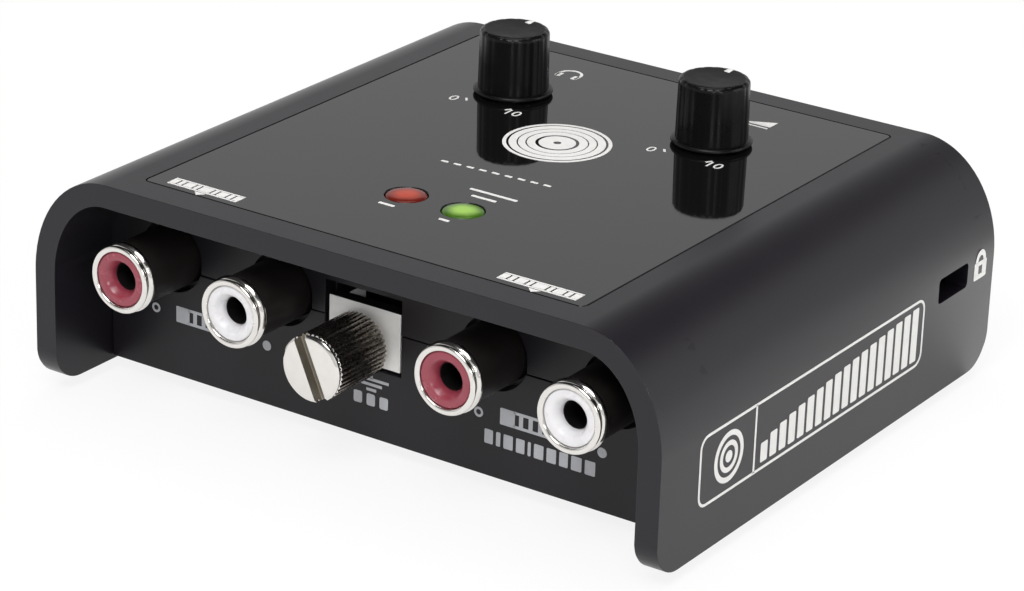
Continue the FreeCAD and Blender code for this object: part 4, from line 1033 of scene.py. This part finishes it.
topMarks = {
    "emblem": (0.0, 6.7, 6.65),       # x, y, radius
    "grooves": ((1.0, 0.93), (0.885, 0.74), (0.715, 0.58), (0.555, 0.40), (0.34, 0.075)),
    "numeralTall": 1.75,
    # text and its place, then the tick's place and lean in degrees
    "scale": (("0", -4.5, -6.5, -3.0, -5.85, 35), ("10", 4.3, -6.5, 3.2, -5.75, -35)),
    "frontBars": ((-22.9, 10.1), (23.6, 10.4)),       # middle and width
    "frontBarY": -32.1,
    # start and width of each block, as shares of the bar
    "frontBlocks": ((0.0, 0.09), (0.115, 0.06), (0.20, 0.12), (0.345, 0.05), (0.42, 0.16), (0.605, 0.05),
                    (0.68, 0.12), (0.825, 0.06), (0.91, 0.09)),
    # x, distance behind the lamps, width
    "lampBars": ((3.9, 6.3, 6.6), (3.7, 4.6, 3.4)),
    "barTall": 0.5,
    "barCorner": 0.12,
    "dashes": 9,
    "dashFrom": (-6.9, -7.0),
    "dashRun": (14.0, 0.9),
}
# a plain record: thin grooves, a label and a centre hole
bm = bmesh.new()
ex, ey, er = topMarks["emblem"]
for outerShare, innerShare in topMarks["grooves"]:
    hoop(bm, ex, ey, er * outerShare, er * innerShare)
printOn("recordEmblem", bm, standing(0, 0, roofZ))

bm = bmesh.new()
for name in ("phones", "gain"):
    cx, cy, _ = middleMm(name + "_knob")
    for text, aside, ahead, tickAside, tickAhead, lean in topMarks["scale"]:
        numeral(bm, text, cx + aside, cy + ahead, topMarks["numeralTall"])
        bar(bm, cx + tickAside, cy + tickAhead, 0.3, 0.9, turnBy=math.radians(lean))
    if name == "phones":
        headphoneSign(bm, cx + 1.9, cy + 10.1, 3.6)
    else:
        wedge(bm, [(cx - 1.2, cy + 9.2), (cx + 2.8, cy + 9.2), (cx + 2.8, cy + 11.2)])
        bar(bm, cx + 0.8, cy + 8.6, 4.0, 0.32)
printOn("knobScales", bm, standing(0, 0, roofZ))

bm = bmesh.new()
for middle, wide in topMarks["frontBars"]:
    y = topMarks["frontBarY"]
    for start, share in topMarks["frontBlocks"]:
        bar(bm, middle - wide / 2 + wide * (start + share / 2), y, wide * share, 1.25, 0.12)
    bar(bm, middle, y + 0.85, wide, 0.28)
    bar(bm, middle, y - 0.85, wide, 0.28)
    wedge(bm, [(middle - 0.8, y - 1.15), (middle, y - 1.95), (middle + 0.8, y - 1.15)])
redX, lampY, _ = middleMm("signal_lamp")
greenX = middleMm("power_lamp")[0]
barTall, barCorner = topMarks["barTall"], topMarks["barCorner"]
bar(bm, redX, lampY - 3.9, 2.2, barTall, barCorner)
bar(bm, greenX, lampY - 3.8, 1.4, barTall, barCorner)
for x, behind, wide in topMarks["lampBars"]:
    bar(bm, x, lampY + behind, wide, barTall, barCorner)
for index in range(topMarks["dashes"]):
    share = index / (topMarks["dashes"] - 1)
    x, y = (a + b * share for a, b in zip(topMarks["dashFrom"], topMarks["dashRun"]))
    bar(bm, x, y, 1.0, 0.42, 0.1)
printOn("panelBars", bm, standing(0, 0, roofZ))

# front wall: grey bars beside the sockets, channel marks, an earth sign, a row of blocks
wallMarks = {
    "bars": ((-30.75, -19.6, 10.2), (16.15, 27.6, 10.05)),      # from, to, height of the middle
    "barStep": 1.3,
    "rings": ((-33.85, 10.2), (13.2, 9.7)),
    "discs": ((-17.1, 9.7), (29.9, 9.4)),
    "dotRadius": 0.62,
    "dotSteps": 28,
    "earthX": -1.85,
    "earthBars": (4.9, 3.0, 1.4),
    "blocks": 3,
    "rowFrom": 14.1,
    "rowTo": 29.1,
    "rowMiddle": 7.05,
    "rowTall": 1.75,
    "rowGap": 0.38,           # against a block of share 1
    "rowBlocks": (1.0, 0.5, 1.1, 1.0, 0.35, 1.1, 1.1, 1.0, 1.2, 1.2),
}
bm = bmesh.new()
for left, right, middle in wallMarks["bars"]:
    bar(bm, left + 1.0, middle, 2.0, 2.05, 0.15)
    at = left + 2.35
    while at < right:
        bar(bm, at + 0.5, middle, 0.55, 1.35)
        for side in (1, -1):
            bar(bm, at + 0.15, middle + side * 0.85, wallMarks["barStep"], 0.35)
        at += wallMarks["barStep"]
printOn("wallBars", bm, facingFront(0, case["frontWall"], 0), inkGrey)

bm = bmesh.new()
dotRadius, dotSteps = wallMarks["dotRadius"], wallMarks["dotSteps"]
for x, z in wallMarks["rings"]:
    hoop(bm, x, z, dotRadius, 0.34, dotSteps)
    bar(bm, x + 0.7, z + 2.35, 1.3, 0.25)
for x, z in wallMarks["discs"]:
    hoop(bm, x, z, dotRadius, 0.0, dotSteps)
bar(bm, wallMarks["earthX"], 10.15, 0.36, 1.1)
for index, wide in enumerate(wallMarks["earthBars"]):
    bar(bm, wallMarks["earthX"], 9.55 - index * 0.66, wide, 0.36)
for index in range(wallMarks["blocks"]):
    bar(bm, -3.75 + index * 1.85, 6.95, 1.2, 1.5, 0.25)
rowBlocks, rowGap = wallMarks["rowBlocks"], wallMarks["rowGap"]
unit = (wallMarks["rowTo"] - wallMarks["rowFrom"]) / (sum(rowBlocks) + rowGap * (len(rowBlocks) - 1))
at = wallMarks["rowFrom"]
for share in rowBlocks:
    bar(bm, at + share * unit / 2, wallMarks["rowMiddle"], share * unit, wallMarks["rowTall"], 0.15)
    at += (share + rowGap) * unit
printOn("wallMarks", bm, facingFront(0, case["frontWall"], 0), inkGrey)

# rear wall: a headphone sign, two marks at the selector and a plug sign at the data socket
bm = bmesh.new()
rearX = {name: sum((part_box(name)[0].x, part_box(name)[1].x)) / 2 / mm
         for name in ("headphone_ring", "usb_shell", "switch_body")}
headphoneSign(bm, -rearX["headphone_ring"], 20.4, 4.2)
for aside in (-2.8, 2.8, 3.6):
    bar(bm, -rearX["switch_body"] + aside, 17.6, 0.4, 1.4)
plugX = -rearX["usb_shell"] + 8.4
bar(bm, plugX, 15.6, 0.4, 5.0)
hoop(bm, plugX, 12.9, 0.6, 0.0, 24)
wedge(bm, [(plugX - 0.7, 18.0), (plugX + 0.7, 18.0), (plugX, 19.4)])
printOn("rearMarks", bm, facingRear(0, shellRearFace, 0))

# right side: a framed strip with a plain disc and graduated bars
sideMarks = {
    "from": -30.3,
    "to": 20.7,
    "low": 7.2,
    "high": 15.9,
    "corner": 1.6,
    "line": 0.34,
    "cell": 11.0,             # length of the part with the disc
    "discRings": ((3.1, 2.45), (1.9, 1.3), (0.7, 0.0)),
    "bars": 18,
    "barShare": 0.72,
    "shortest": 2.4,
    "bend": 0.7,
}
bm = bmesh.new()
length, tall = sideMarks["to"] - sideMarks["from"], sideMarks["high"] - sideMarks["low"]
midY, midZ = (sideMarks["to"] + sideMarks["from"]) / 2, (sideMarks["high"] + sideMarks["low"]) / 2
frameLine(bm, midY, midZ, length, tall, sideMarks["corner"], sideMarks["line"])
cellEnd = sideMarks["from"] + sideMarks["cell"]
bar(bm, cellEnd + 0.9, midZ, sideMarks["line"], tall - sideMarks["line"])
for outerRadius, innerRadius in sideMarks["discRings"]:
    hoop(bm, cellEnd + 0.75 - sideMarks["cell"] / 2, midZ, outerRadius, innerRadius)
start = cellEnd + 2.0
step = (sideMarks["to"] - 1.2 - start) / sideMarks["bars"]
for index in range(sideMarks["bars"]):
    rise = (index / (sideMarks["bars"] - 1)) ** sideMarks["bend"]
    barTall = sideMarks["shortest"] + (tall - 4.2) * rise
    bar(bm, start + step * (index + 0.5), sideMarks["low"] + 0.9 + barTall / 2,
        step * sideMarks["barShare"], barTall, 0.2)
printOn("sideStrip", bm, facingRight(shellHigh.x, 0, 0))

# a plain padlock sign behind the lock slot: a half ring over a body with a keyhole
bm = bmesh.new()
lockY, lockZ = 34.75, 15.3
hoop(bm, 0, 0, 1.28, 0.68, 48)
upperHalf(bm, -0.02)
bmesh.ops.scale(bm, vec=(1, 1.2, 1), verts=bm.verts)
bmesh.ops.translate(bm, vec=(lockY * mm, (lockZ + 0.65) * mm, 0), verts=bm.verts)
bar(bm, lockY, lockZ + 0.42, 3.1, 0.56, 0.2)
bar(bm, lockY, lockZ - 1.28, 3.1, 0.62, 0.25)
for aside in (-1.02, 1.02):
    bar(bm, lockY + aside, lockZ - 0.43, 1.06, 1.2)
printOn("padlockSign", bm, facingRight(shellHigh.x, 0, 0))
print("printed marks ready")
